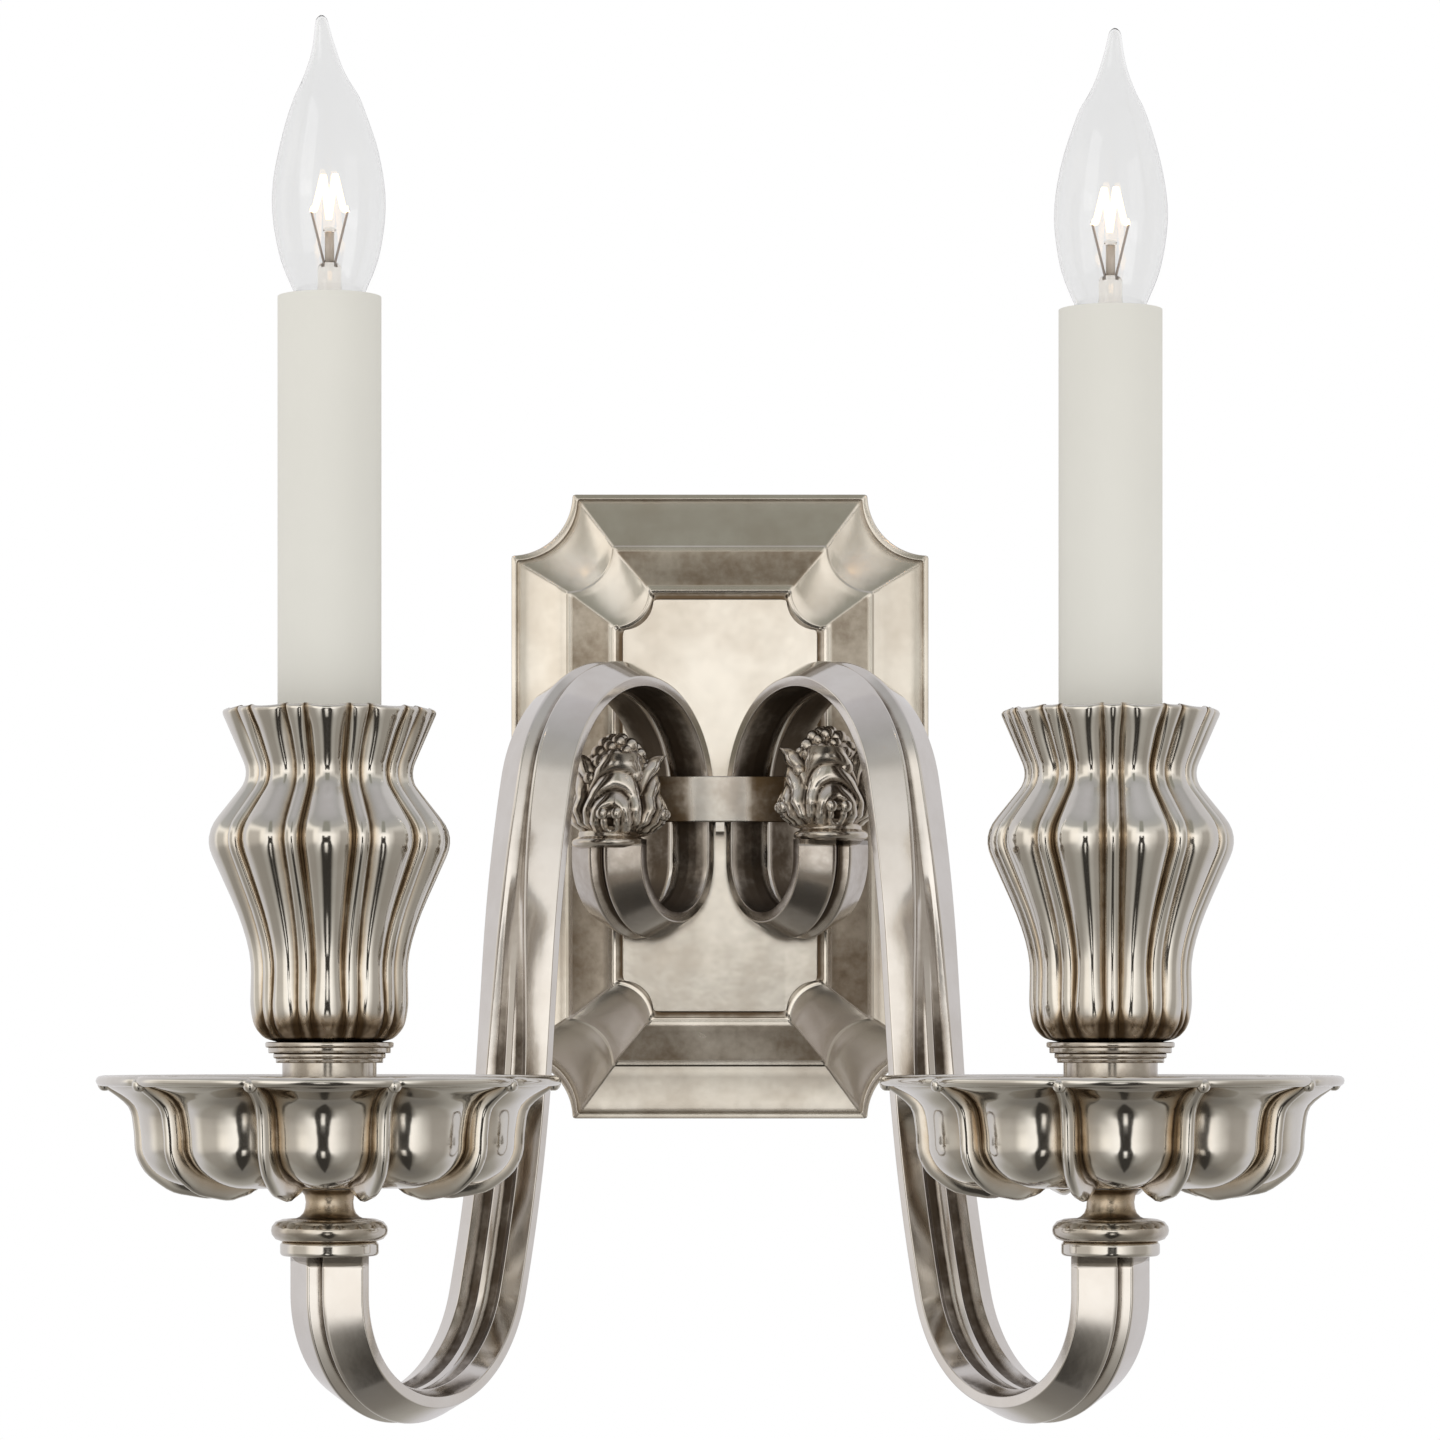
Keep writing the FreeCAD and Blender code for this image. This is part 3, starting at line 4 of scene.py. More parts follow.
import bpy
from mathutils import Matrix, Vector


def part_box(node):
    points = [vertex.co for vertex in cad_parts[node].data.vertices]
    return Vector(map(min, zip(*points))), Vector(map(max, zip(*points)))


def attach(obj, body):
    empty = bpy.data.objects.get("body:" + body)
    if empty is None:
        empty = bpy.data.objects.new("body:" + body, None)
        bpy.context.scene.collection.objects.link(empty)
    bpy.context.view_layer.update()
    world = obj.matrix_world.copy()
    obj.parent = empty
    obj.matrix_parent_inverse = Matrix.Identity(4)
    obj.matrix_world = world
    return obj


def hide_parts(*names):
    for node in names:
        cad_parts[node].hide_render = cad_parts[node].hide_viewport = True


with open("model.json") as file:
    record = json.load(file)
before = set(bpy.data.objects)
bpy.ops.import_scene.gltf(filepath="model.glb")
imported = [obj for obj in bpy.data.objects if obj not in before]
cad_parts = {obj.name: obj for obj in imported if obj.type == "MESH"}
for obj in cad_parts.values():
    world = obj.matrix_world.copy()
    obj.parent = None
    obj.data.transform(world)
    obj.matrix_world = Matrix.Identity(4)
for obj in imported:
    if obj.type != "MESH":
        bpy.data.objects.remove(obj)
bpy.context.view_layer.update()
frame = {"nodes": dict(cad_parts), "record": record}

# Double arm wall sconce. Shapes are worked out in millimetres and made in metres.
# +X is to the right, +Y into the wall, +Z up, and the wall is the plane Y = 0.

MM = 0.001
SIDES = {"left": -1.0, "right": 1.0}
FIXED_BODY = "sconce"
FULL_TURN = 2.0 * pi
QUARTER_TURN = pi / 2.0


def node_box(node):
    """A CAD node's lowest and highest corner, in millimetres."""
    low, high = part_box(node)
    return low / MM, high / MM


def axis_of(node):
    """The upright axis through a CAD node's middle, as its point at height 0."""
    low, high = node_box(node)
    return Vector(((low.x + high.x) / 2.0, (low.y + high.y) / 2.0, 0.0))


def raised(place, height):
    return place + Vector((0.0, 0.0, height))


# ---- Shader maths


class Wire:
    """A value that runs through a material's nodes. Its operators add Math nodes."""

    def __init__(self, paint, socket):
        self.paint, self.socket = paint, socket

    def maths(self, operation, *others):
        values = dict(enumerate((self, *others)))
        return self.paint.node("ShaderNodeMath", {"operation": operation}, values)[0]

    def __add__(self, other):
        return self.maths("ADD", other)

    def __sub__(self, other):
        return self.maths("SUBTRACT", other)

    def __mul__(self, other):
        return self.maths("MULTIPLY", other)

    def __rsub__(self, other):
        return self.maths("MULTIPLY", -1.0).maths("ADD", other)

    __radd__ = __add__
    __rmul__ = __mul__

    def between(self, low, high):
        """0 at low, 1 at high, and eased between them."""
        settings = {"interpolation_type": "SMOOTHSTEP"}
        return self.paint.node("ShaderNodeMapRange", settings, {0: self, 1: low, 2: high})[0]

    def inside(self, start, end):
        """1 between two soft edges, each eased over (from, to). An edge of None is left open."""
        share = self.between(*start) if start else 1.0
        return (1.0 - self.between(*end)) * share if end else share


class Outlets:
    """The outgoing sockets of a node."""

    def __init__(self, paint, made):
        self.paint, self.made = paint, made

    def __getitem__(self, key):
        return Wire(self.paint, self.made.outputs[key])


class Paint:
    """The nodes of a material or of the world."""

    def __init__(self, owner):
        owner.use_nodes = True
        self.owner, self.tree = owner, owner.node_tree
        self.tree.nodes.clear()

    def node(self, kind, settings=None, values=None):
        """Adds a node: first its settings, then its sockets' values, colours or links."""
        made = self.tree.nodes.new(kind)
        for name, value in (settings or {}).items():
            if name == "stops":
                self.set_stops(made.color_ramp, value)
            else:
                setattr(made, name, value)
        for name, value in (values or {}).items():
            socket = made.inputs[name]
            if isinstance(value, Wire):
                self.tree.links.new(value.socket, socket)
            else:
                socket.default_value = (*value, 1.0) if isinstance(value, tuple) else value
        return Outlets(self, made)

    def set_stops(self, ramp, stops):
        while len(ramp.elements) < len(stops):
            ramp.elements.new(1.0)
        for element, (place, colour) in zip(ramp.elements, stops):
            element.position = place
            element.color = (*colour, 1.0)

    def blend(self, factor, first, second):
        """Passes from the first colour to the second."""
        return self.node("ShaderNodeMix", {"data_type": "RGBA"}, {0: factor, 6: first, 7: second})[2]

    def noise(self, where, grain, detail=2.0, roughness=0.5):
        """Soft noise with this many spots a metre."""
        values = {"Vector": where, "Scale": grain, "Detail": detail, "Roughness": roughness}
        return self.node("ShaderNodeTexNoise", None, values)["Fac"]

    def bump(self, strength, depth, height):
        values = {"Strength": strength, "Distance": depth, "Height": height}
        return self.node("ShaderNodeBump", None, values)["Normal"]

    def seen(self):
        """1 where the camera looks, straight on or through glass."""
        rays = self.node("ShaderNodeLightPath")
        return rays["Is Camera Ray"].maths("MAXIMUM", rays["Is Transmission Ray"])

    def surface(self, values):
        """Finishes a material with one shader, and hands it back."""
        shader = self.node("ShaderNodeBsdfPrincipled", None, values)
        self.node("ShaderNodeOutputMaterial", None, {"Surface": shader["BSDF"]})
        return self.owner


# ---- Finishes

# The mesh attribute that says how deep in a groove each point lies, from 0 to 1. On the
# backplate's inner band and the strap band's ends it carries painted shade too.
GROOVE = "groove"

# Plated metal. A grain is in spots a metre, and an edge is where something begins and where it is full.
FLECK_GRAIN, STREAK_GRAIN = 420.0, 160.0
PATINA_HOLD, PATINA_CLOUD, PATINA_FLECK = 0.55, 0.9, 0.25
PATINA_EDGE, UMBER_EDGE, MOTTLE_EDGE = (0.18, 0.95), (0.5, 1.0), (0.32, 0.70)
PATINA_ROUGH, STREAK_ROUGH, MOTTLE_ROUGH = 0.26, 0.05, 0.10
STREAK_STRENGTH, STREAK_DEPTH = 0.10, 0.0002

# Single finishes.
TONE_GRAIN, TONE_EDGE = 30.0, (0.3, 0.7)
FINE_GRAIN, FINE_STRENGTH, FINE_DEPTH, FINE_ROUGH = 300.0, 0.4, 0.00005, 0.06
GLASS_BENDING = 1.45


def plated(name, bright, dark, patina, polish, mottle, mottle_grain):
    """Plated metal: bright where it is rubbed, with patina in its grooves, darker in the deepest.
    Groove values that carry painted shade darken it too.
    """
    paint = Paint(bpy.data.materials.new(name))
    where = paint.node("ShaderNodeTexCoord")["Object"]
    cloud = paint.noise(where, mottle_grain, 4.0, 0.6)
    fleck = paint.noise(where, FLECK_GRAIN, 3.0, 0.6)
    streak = paint.noise(where, STREAK_GRAIN)
    groove = paint.node("ShaderNodeAttribute", {"attribute_name": GROOVE})["Fac"]
    # The groove carries patina and, on some pieces, painted shade.
    patina_and_shade_amount = groove * (PATINA_HOLD + cloud * PATINA_CLOUD)
    patina_and_shade_share = (patina_and_shade_amount + (fleck - 0.5) * PATINA_FLECK * groove).between(*PATINA_EDGE)
    patina_and_shade_colour = paint.blend(patina_and_shade_share.between(*UMBER_EDGE), *patina)
    tone = paint.blend(cloud.between(*MOTTLE_EDGE) * mottle, bright, dark)
    rough = polish + patina_and_shade_share * PATINA_ROUGH + streak * STREAK_ROUGH + cloud * mottle * MOTTLE_ROUGH
    return paint.surface({
        "Base Color": paint.blend(patina_and_shade_share, tone, patina_and_shade_colour),
        "Metallic": 1.0,
        "Roughness": rough,
        "Normal": paint.bump(STREAK_STRENGTH, STREAK_DEPTH, streak + cloud),
    })


def plain(name, colour, roughness, metallic=0.0, variation=0.04):
    """A single finish with a fine grain and a little change of tone."""
    paint = Paint(bpy.data.materials.new(name))
    where = paint.node("ShaderNodeTexCoord")["Object"]
    cloud, fine = paint.noise(where, TONE_GRAIN, 3.0), paint.noise(where, FINE_GRAIN, 3.0)
    darker = tuple(channel * (1.0 - variation * 2.0) for channel in colour)
    return paint.surface({
        "Base Color": paint.blend(cloud.between(*TONE_EDGE), colour, darker),
        "Metallic": metallic,
        "Roughness": roughness + fine * FINE_ROUGH,
        "Normal": paint.bump(FINE_STRENGTH, FINE_DEPTH, fine),
    })


def clear_glass(name, tint):
    values = {"Base Color": tint, "Roughness": 0.0, "IOR": GLASS_BENDING, "Transmission Weight": 1.0}
    return Paint(bpy.data.materials.new(name)).surface(values)


def glowing(name, colour, strength):
    glow = {"Emission Color": colour, "Emission Strength": strength}
    values = {"Base Color": colour, "Roughness": 0.5, **glow}
    return Paint(bpy.data.materials.new(name)).surface(values)


# Patina as (its colour in a groove, its colour in the deepest).
GOLDEN_PATINA = (0.52, 0.37, 0.20), (0.13, 0.086, 0.046)
SCROLL_PATINA = (0.29, 0.235, 0.18), (0.095, 0.073, 0.054)
# The backplate's patina also stands as painted shade on its inner band.
PLATE_PATINA_AND_SHADE = (0.40, 0.335, 0.26), (0.17, 0.12, 0.075)
# The strap band's colours are mostly painted shade on its ends, and a faint stain down its middle.
BAND_SHADE_AND_STAIN = (0.24, 0.185, 0.13), (0.13, 0.086, 0.046)
BUD_PATINA = (0.34, 0.255, 0.17), (0.055, 0.038, 0.026)

# Plated pieces as (bright metal, dulled metal, patina, roughness, mottling, its spots a metre).
PLATED = {
    "plate": ((0.78, 0.74, 0.675), (0.60, 0.54, 0.465), PLATE_PATINA_AND_SHADE, 0.09, 0.8, 34.0),
    "arm": ((0.76, 0.73, 0.70), (0.64, 0.595, 0.55), SCROLL_PATINA, 0.07, 0.45, 60.0),
    "band": ((0.72, 0.69, 0.64), (0.50, 0.44, 0.38), BAND_SHADE_AND_STAIN, 0.12, 0.8, 60.0),
    "bud": ((0.74, 0.70, 0.65), (0.56, 0.50, 0.43), BUD_PATINA, 0.11, 0.8, 60.0),
    "cup": ((0.75, 0.725, 0.68), (0.62, 0.58, 0.53), GOLDEN_PATINA, 0.06, 0.5, 60.0),
    # The neck: a darker copy of the cup's metal, partly tarnish and partly painted shade between the dish
    # and cup.
    "neck": ((0.66, 0.62, 0.56), (0.44, 0.39, 0.335), GOLDEN_PATINA, 0.08, 0.8, 90.0),
}
FINISHES = {"plated_" + piece: plated(piece + "_nickel", *look) for piece, look in PLATED.items()}
FINISHES.update({
    "candle_sleeve": plain("sleeve_matt", (0.86, 0.84, 0.775), 0.62, variation=0.01),
    "lamp_glass": clear_glass("lamp_clear", (0.89, 0.89, 0.89)),
    "stem_glass": clear_glass("mount_clear", (0.97, 0.93, 0.87)),
    "stem_rod": plain("stem_rod", (0.78, 0.66, 0.54), 0.35),
    "filament_metal": glowing("filament_lit", (1.0, 0.72, 0.42), 2.6),
    "bare_brass": plain("brass_bare", (0.72, 0.52, 0.24), 0.28, 1.0),
    "zinc_steel": plain("zinc_plate", (0.60, 0.61, 0.62), 0.34, 1.0, variation=0.08),
    "holder_black": plain("holder_moulded", (0.03, 0.03, 0.032), 0.30),
    "block_plastic": plain("block_moulded", (0.75, 0.74, 0.69), 0.45),
    "ground_green": plain("ground_paint", (0.05, 0.30, 0.10), 0.35),
    "wire_cover": plain("wire_cover_black", (0.03, 0.03, 0.03), 0.42),
    "support_steel": plain("support_steel", (0.42, 0.35, 0.30), 0.4, 0.5),
})


def dress(piece, finish):
    piece.data.materials.clear()
    piece.data.materials.append(FINISHES[finish])


# ---- Mesh helpers

# A corner's rounding takes at most this share of the legs beside it.
LEG_SHARE = 0.45
SHORTEST_LEG = 1e-6
NORMAL_WEIGHT = 100


def placed(name, data):
    """A new object in the scene."""
    made = bpy.data.objects.new(name, data)
    bpy.context.scene.collection.objects.link(made)
    return made


def make_piece(name, skins, slot, replaces=(), body=FIXED_BODY, weighted=False, finish=None):
    """One mesh from one or more skins of (points, faces, groove values), in millimetres."""
    points, faces, grooves = [], [], []
    for skin_points, skin_faces, skin_grooves in skins:
        first = len(points)
        points += [Vector(point) * MM for point in skin_points]
        faces += [[first + corner for corner in face] for face in skin_faces]
        grooves += skin_grooves
    mesh = bpy.data.meshes.new(name)
    mesh.from_pydata(points, [], faces)
    mesh.validate()
    mesh.attributes.new(GROOVE, "FLOAT", "POINT").data.foreach_set("value", grooves)
    mesh.shade_smooth()
    piece = placed(name, mesh)
    if weighted:
        modifier = piece.modifiers.new("even_normals", "WEIGHTED_NORMAL")
        modifier.weight = NORMAL_WEIGHT
    dress(piece, finish or slot)
    if replaces:
        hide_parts(*replaces)
    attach(piece, body)


def skin(rings, grooves=0.0, closed=True, cap_first=False, cap_last=False, looped=False):
    """Faces across a row of rings of as many points each. The groove is one value, or one a point."""
    count = len(rings[0])
    points = [point for ring in rings for point in ring]
    faces = []
    spans = count if closed else count - 1
    rows = len(rings) if looped else len(rings) - 1
    for row in range(rows):
        first, second = row * count, (row + 1) % len(rings) * count
        for i in range(spans):
            j = (i + 1) % count
            faces.append([first + i, first + j, second + j, second + i])
    if cap_first:
        faces.append(list(range(count))[::-1])
    if cap_last:
        faces.append(list(range(len(points) - count, len(points))))
    if isinstance(grooves, float):
        grooves = [grooves] * len(points)
    return points, faces, grooves


def facing_point(radius, facing, height):
    """A point off an upright axis. It faces the room at 0, and turns towards +X."""
    return Vector((radius * sin(facing), -radius * cos(facing), height))


def circle(centre, radius, height, segments):
    """A level circle of points round an upright axis."""
    angles = [FULL_TURN * i / segments for i in range(segments)]
    return [centre + Vector((radius * cos(angle), radius * sin(angle), height)) for angle in angles]


def turned(profile, centre, segments=96, cap_first=False, cap_last=False, looped=False, groove=0.0):
    """Turns (radius, height) points round an upright axis. The groove is one value, or one a point."""
    if isinstance(groove, list):
        groove = [value for value in groove for _ in range(segments)]
    rings = [circle(centre, radius, height, segments) for radius, height in profile]
    return skin(rings, groove, cap_first=cap_first, cap_last=cap_last, looped=looped)


def ball(centre, radius, segments=14, rows=9, groove=0.0):
    angles = [pi * row / rows for row in range(1, rows)]
    profile = [(radius * sin(angle), -radius * cos(angle)) for angle in angles]
    return turned(profile, centre, segments, True, True, groove=groove)


def bent(corner, ends, shares):
    """Points of a curve between two ends that bends towards a corner."""
    start, end = ends
    return [start * (1.0 - s) ** 2 + corner * (2.0 * s * (1.0 - s)) + end * s**2 for s in shares]


def softened(corners, reach, steps=3, closed=True):
    """Rounds each corner of a path. The reach is one distance, or one for each corner."""
    corners = [Vector(corner) for corner in corners]
    last = len(corners) - 1
    shares = [step / steps for step in range(steps + 1)]
    rounded = []
    for i, corner in enumerate(corners):
        if not closed and i in (0, last):
            rounded.append(corner)
            continue
        size = reach if isinstance(reach, float) else reach[i]
        legs = [corners[i - 1] - corner, corners[0 if i == last else i + 1] - corner]
        ends = [corner + leg * min(LEG_SHARE, size / max(leg.length, SHORTEST_LEG)) for leg in legs]
        rounded += bent(corner, ends, shares)
    return rounded


def refined(path, longest):
    """Adds points so that no leg of a path is longer than this."""
    points = [path[0]]
    for before, after in zip(path, path[1:]):
        parts = max(1, ceil((after - before).length / longest))
        points += [before.lerp(after, part / parts) for part in range(1, parts + 1)]
    return points


def curve_through(points, steps):
    """A smooth curve through points, with this many steps from one to the next."""
    points = [Vector(point) for point in points]
    last = len(points) - 1
    curve = []
    for i in range(last):
        p0, p1, p2, p3 = (points[min(last, max(0, i + k))] for k in (-1, 0, 1, 2))
        slope, bend, twist = p2 - p0, p0 * 2.0 - p1 * 5.0 + p2 * 4.0 - p3, p1 * 3.0 - p0 - p2 * 3.0 + p3
        for step in range(steps):
            u = step / steps
            curve.append((p1 * 2.0 + slope * u + bend * u**2 + twist * u**3) * 0.5)
    curve.append(points[last])
    return curve


def eased(share):
    return share * share * (3.0 - 2.0 * share)


def along(table, place):
    """Reads a value off a table of (place, value), eased between its rows."""
    for (first, low), (second, high) in zip(table, table[1:]):
        if place <= second:
            share = min(1.0, max(0.0, (place - first) / (second - first)))
            return low + (high - low) * eased(share)
    return table[-1][1]


# ---- Arms

ARM_ANGLE = radians(33.8)
ARM_ROOT_ACROSS, ARM_ROOT_OUT, ARM_ROOT_UP = 13.2, 22.0, 1.5
ARM_WIDTH, ARM_EDGE = 25.4, 3.1
RIDGE_HEIGHT, RIDGE_SPREAD = 5.0, 5.4
VALLEY_HEIGHT, VALLEY_WIDTH = 2.6, 0.8
LIP_INSET, LIP_HEIGHT, LIP_SLOPE = 5.5, 2.1, 2.4
FLOOR_HEIGHT, RIB_WIDTH, RIB_SLOPE, RIB_HEIGHT = 0.3, 2.2, 1.1, 1.2
BUD_STEM, EYE_RADIUS, BACK_STRAIGHT = 5.0, 17.9, 18.6
LIMB_STRAIGHT, RISER = 28.0, 10.6
LIMB_LEAN, LIMB_LOWER_TURN = 5.8, 10.4
CROWN_TURNS = (93.0, 73.0)
BOWL_BACK_TURN = 107.0
CROWN_RADII, LIMB_RADII, BOWL_RADII = (33.5, 39.8), (374.0, 391.0), (40.0, 30.0)
SWAP_LENGTH = 100.0
TURN_STEP = radians(2.5)
RUN_STEP = 4.0

HALF, RIDGE, VALLEY = ARM_WIDTH / 2.0, RIDGE_SPREAD / 2.0, VALLEY_WIDTH / 2.0
LIP, RIB = HALF - LIP_INSET, RIB_WIDTH / 2.0
FALL, DROP = (RIDGE - VALLEY) / 3.0, (RIDGE_HEIGHT - VALLEY_HEIGHT) / 3.0
# Half of each face, from its edge to its middle line: across, height, rounding, groove.
GABLE_HALF = (
    (HALF, 0.0, 0.35, 0.0),
    ((HALF + RIDGE) / 2.0, RIDGE_HEIGHT / 2.0, 0.5, 0.0),
    (RIDGE, RIDGE_HEIGHT, 1.1, 0.0),
    (RIDGE - FALL, RIDGE_HEIGHT - DROP, 0.5, 0.08),
    (VALLEY + FALL, VALLEY_HEIGHT + DROP, 0.5, 0.15),
    (VALLEY, VALLEY_HEIGHT, 0.3, 0.7),
)
CHANNEL_HALF = (
    (HALF, 0.0, 0.35, 0.05),
    ((HALF + LIP) / 2.0, LIP_HEIGHT / 2.0, 0.5, 0.0),
    (LIP, LIP_HEIGHT, 0.35, 0.05),
    (LIP - LIP_SLOPE, FLOOR_HEIGHT, 0.5, 0.85),
    (RIB + RIB_SLOPE, FLOOR_HEIGHT, 0.4, 0.85),
    (RIB, RIB_HEIGHT, 0.4, 0.1),
)
COVE_HALF = (
    (12.7, 0.0, 0.4, 0.4), (10.4, -0.35, 0.4, 0.75), (7.9, -0.45, 0.4, 0.86),
    (5.2, -0.25, 0.4, 0.92), (2.3, 0.30, 0.4, 0.97), (0.45, 1.1, 0.4, 0.3),
)
# Tarnish along the arm, as (distance from the bud, stain).
SCROLL_TARNISH = ((0.0, 0.56), (30.0, 0.46), (56.0, 0.0), (600.0, 0.0))

UPPER_TURN = 180.0 - LIMB_LEAN - sum(CROWN_TURNS)
FRONT_TURN = 180.0 - LIMB_LEAN - LIMB_LOWER_TURN - BOWL_BACK_TURN
# The arm's path from the bud to the candle: (length or radius, turn in degrees, swaps faces).
ARM_PLAN = (
    (BUD_STEM, 0.0, False),
    (EYE_RADIUS, -180.0, False),
    (BACK_STRAIGHT, 0.0, False),
    (CROWN_RADII[0], -CROWN_TURNS[0], False),
    (CROWN_RADII[1], -CROWN_TURNS[1], False),
    (LIMB_RADII[0], -UPPER_TURN, True),
    (LIMB_STRAIGHT, 0.0, True),
    (LIMB_RADII[1], LIMB_LOWER_TURN, True),
    (BOWL_RADII[0], BOWL_BACK_TURN, False),
    (BOWL_RADII[1], FRONT_TURN, False),
    (RISER, 0.0, False),
)


def arm_stations():
    """Points along the arm's path: (out from the wall, up, heading, how far the faces have swapped)."""
    s, z = 2.0 * EYE_RADIUS, ARM_ROOT_UP - BACK_STRAIGHT + BUD_STEM
    heading, swapped = -QUARTER_TURN, 0.0
    stations = [(s, z, heading, swapped)]
    for amount, turn_degrees, swaps in ARM_PLAN:
        turn = radians(turn_degrees)
        length = amount * abs(turn) if turn else amount
        steps = max(2, ceil(abs(turn) / TURN_STEP), ceil(length / RUN_STEP))
        for _ in range(steps):
            middle = heading + turn / steps / 2.0
            chord = 2.0 * amount * sin(abs(turn) / steps / 2.0) if turn else length / steps
            s += cos(middle) * chord
            z += sin(middle) * chord
            heading += turn / steps
            if swaps:
                swapped = min(1.0, swapped + length / steps / SWAP_LENGTH)
            stations.append((s, z, heading, swapped))
    return stations


def in_arm_plane(side, s, across, z):
    """A point given along one arm's plane, in the sconce's frame."""
    x = -ARM_ROOT_ACROSS - sin(ARM_ANGLE) * s + cos(ARM_ANGLE) * across
    y = -ARM_ROOT_OUT - cos(ARM_ANGLE) * s - sin(ARM_ANGLE) * across
    return Vector((-side * x, y, z))


def arm_section(swapped):
    """The bar's outline as (across, outward, rounding, groove). Outward is left of the path. The gable
    is outward at first, with the cove behind it, and swaps to the other side of the bar."""
    outline = []
    for gabled, sign, other in ((1.0 - swapped, 1.0, CHANNEL_HALF), (swapped, -1.0, COVE_HALF)):
        half = [Vector(c).lerp(Vector(g), gabled) for g, c in zip(GABLE_HALF, other)]
        out = [sign * (ARM_EDGE / 2.0 + corner[1]) for corner in half]
        left = [Vector((-c[0], o, c[2], c[3])) for c, o in zip(half, out)]
        right = [Vector((c[0], o, c[2], c[3])) for c, o in zip(half, out)][::-1]
        face = left + right
        outline += face if sign > 0 else face[::-1]
    return softened(outline, [corner[2] for corner in outline])


def make_arm(name, side):
    rings, grooves = [], []
    stations = arm_stations()
    travelled, last = 0.0, stations[0]
    for station in stations:
        s, z, heading, swapped = station
        travelled += hypot(s - last[0], z - last[1])
        last = station
        tarnish = along(SCROLL_TARNISH, travelled)
        ring = []
        for across, out, _, groove in arm_section(eased(swapped)):
            place = in_arm_plane(side, s - sin(heading) * out, across, z + cos(heading) * out)
            ring.append((place, min(1.0, groove + tarnish)))
        if side > 0:
            ring = ring[::-1]
        rings.append([place for place, _ in ring])
        grooves += [groove for _, groove in ring]
    bar = skin(rings, grooves, cap_first=True, cap_last=True)
    make_piece(name + "_scroll", [bar], "plated_arm", [name + "_arm"], weighted=True)


# ---- Backplate

PLATE_HALF = (128.5 / 2.0, 192.2 / 2.0)
RIM_HEIGHT = 5.2
# Steps inwards from the rim: inset across, inset up, scoop radius, rise, rounding, groove.
PLATE_RINGS = (
    (0.0, 0.0, 18.8, 0.0, 0.3, 0.3),
    (0.0, 0.0, 18.8, RIM_HEIGHT, 0.35, 0.0),
    (1.5, 1.5, 18.8, 0.35, 0.2, 0.1),
    (0.2, 0.2, 18.8, -0.7, 0.15, 0.7),
    (0.5, 0.5, 18.8, 0.15, 0.3, 0.6),
    (15.1, 14.2, 14.1, 3.6, 0.6, 0.0),
    (14.3, 13.7, 11.2, 3.3, 0.9, 0.0),
    (1.1, 1.1, 11.2, -0.55, 0.4, 0.7),
    (1.6, 1.6, 11.2, 0.0, 0.3, 1.0),
    (0.35, 0.35, 9.2, 0.95, 0.25, 0.1),
)
# The two wide bands: which ring each starts at, and how stained it is. The inner band's stain is
# partly patina and partly painted shade for its darker slope. They are coved a little.
PLATE_BAND_STAIN_AND_SHADE = {4: 0.0, 5: 0.7}
COVE_STEPS, COVE_DEPTH = 8, 0.3
# What is left of a band's stain and painted shade on its scoops, so that these stay bright.
SCOOP_SHARE = 0.15
SCOOP_STEPS = 20
MITRE_ROUNDING = 0.9
RIDGE_SHARES = (0.0, 0.33, 0.67, 1.0)


def scooped_ring(across, up, scoop, out):
    """One ring of the plate, its corners scooped out and its mitres softened, as (point, straight):
    straight says whether the point starts a straight side or lies on a mitre."""
    corners = []
    for sign_x, sign_z in ((1, 1), (-1, 1), (-1, -1), (1, -1)):
        steps = range(SCOOP_STEPS + 1)
        for step in steps if sign_x == sign_z else reversed(steps):
            turn = QUARTER_TURN * step / SCOOP_STEPS
            x, z = across - scoop * sin(turn), up - scoop * cos(turn)
            corners.append((Vector((sign_x * x, -out, sign_z * z)), step in (0, SCOOP_STEPS)))
    ring = []
    for i, (point, mitred) in enumerate(corners):
        if not mitred:
            ring.append((point, False))
            continue
        before, after = corners[i - 1][0], corners[(i + 1) % len(corners)][0]
        start = point + (before - point).normalized() * MITRE_ROUNDING
        end = point + (after - point).normalized() * MITRE_ROUNDING
        ends_scoop = bool(i % (SCOOP_STEPS + 1))
        ring += [(start, not ends_scoop), ((start + end + point * 2.0) / 4.0, True), (end, ends_scoop)]
    return ring


def plate_profile():
    """The plate's steps from the wall to the panel, with coved bands and rounded ridges, as
    ((across, up, scoop, out), groove, on a band)."""
    across, up, out = *PLATE_HALF, 0.0
    corners = []
    for inset_across, inset_up, scoop, rise, _, _ in PLATE_RINGS:
        across, up, out = across - inset_across, up - inset_up, out + rise
        corners.append(Vector((across, up, scoop, out)))
    path = []
    for i, corner in enumerate(corners):
        rounding, groove = PLATE_RINGS[i][4:]
        path.append((corner, rounding, groove, False))
        # The inner band's points carry painted shade as well as patina in their groove values.
        if i in PLATE_BAND_STAIN_AND_SHADE:
            for step in range(1, COVE_STEPS):
                share = step / COVE_STEPS
                place = corner.lerp(corners[i + 1], share)
                place[3] -= COVE_DEPTH * 4.0 * share * (1.0 - share)
                path.append((place, 0.0, PLATE_BAND_STAIN_AND_SHADE[i], True))
    profile = []
    for i, (corner, rounding, groove, on_band) in enumerate(path):
        places = [corner]
        if rounding and 0 < i < len(path) - 1:
            legs = [path[i - 1][0] - corner, path[i + 1][0] - corner]
            # Only a leg's first three values are normalized, so tall steps are rounded further.
            ends = [corner + leg.normalized() * min(rounding, leg.length * LEG_SHARE) for leg in legs]
            places = bent(corner, ends, RIDGE_SHARES)
        profile += [(place, groove, on_band) for place in places]
    return profile


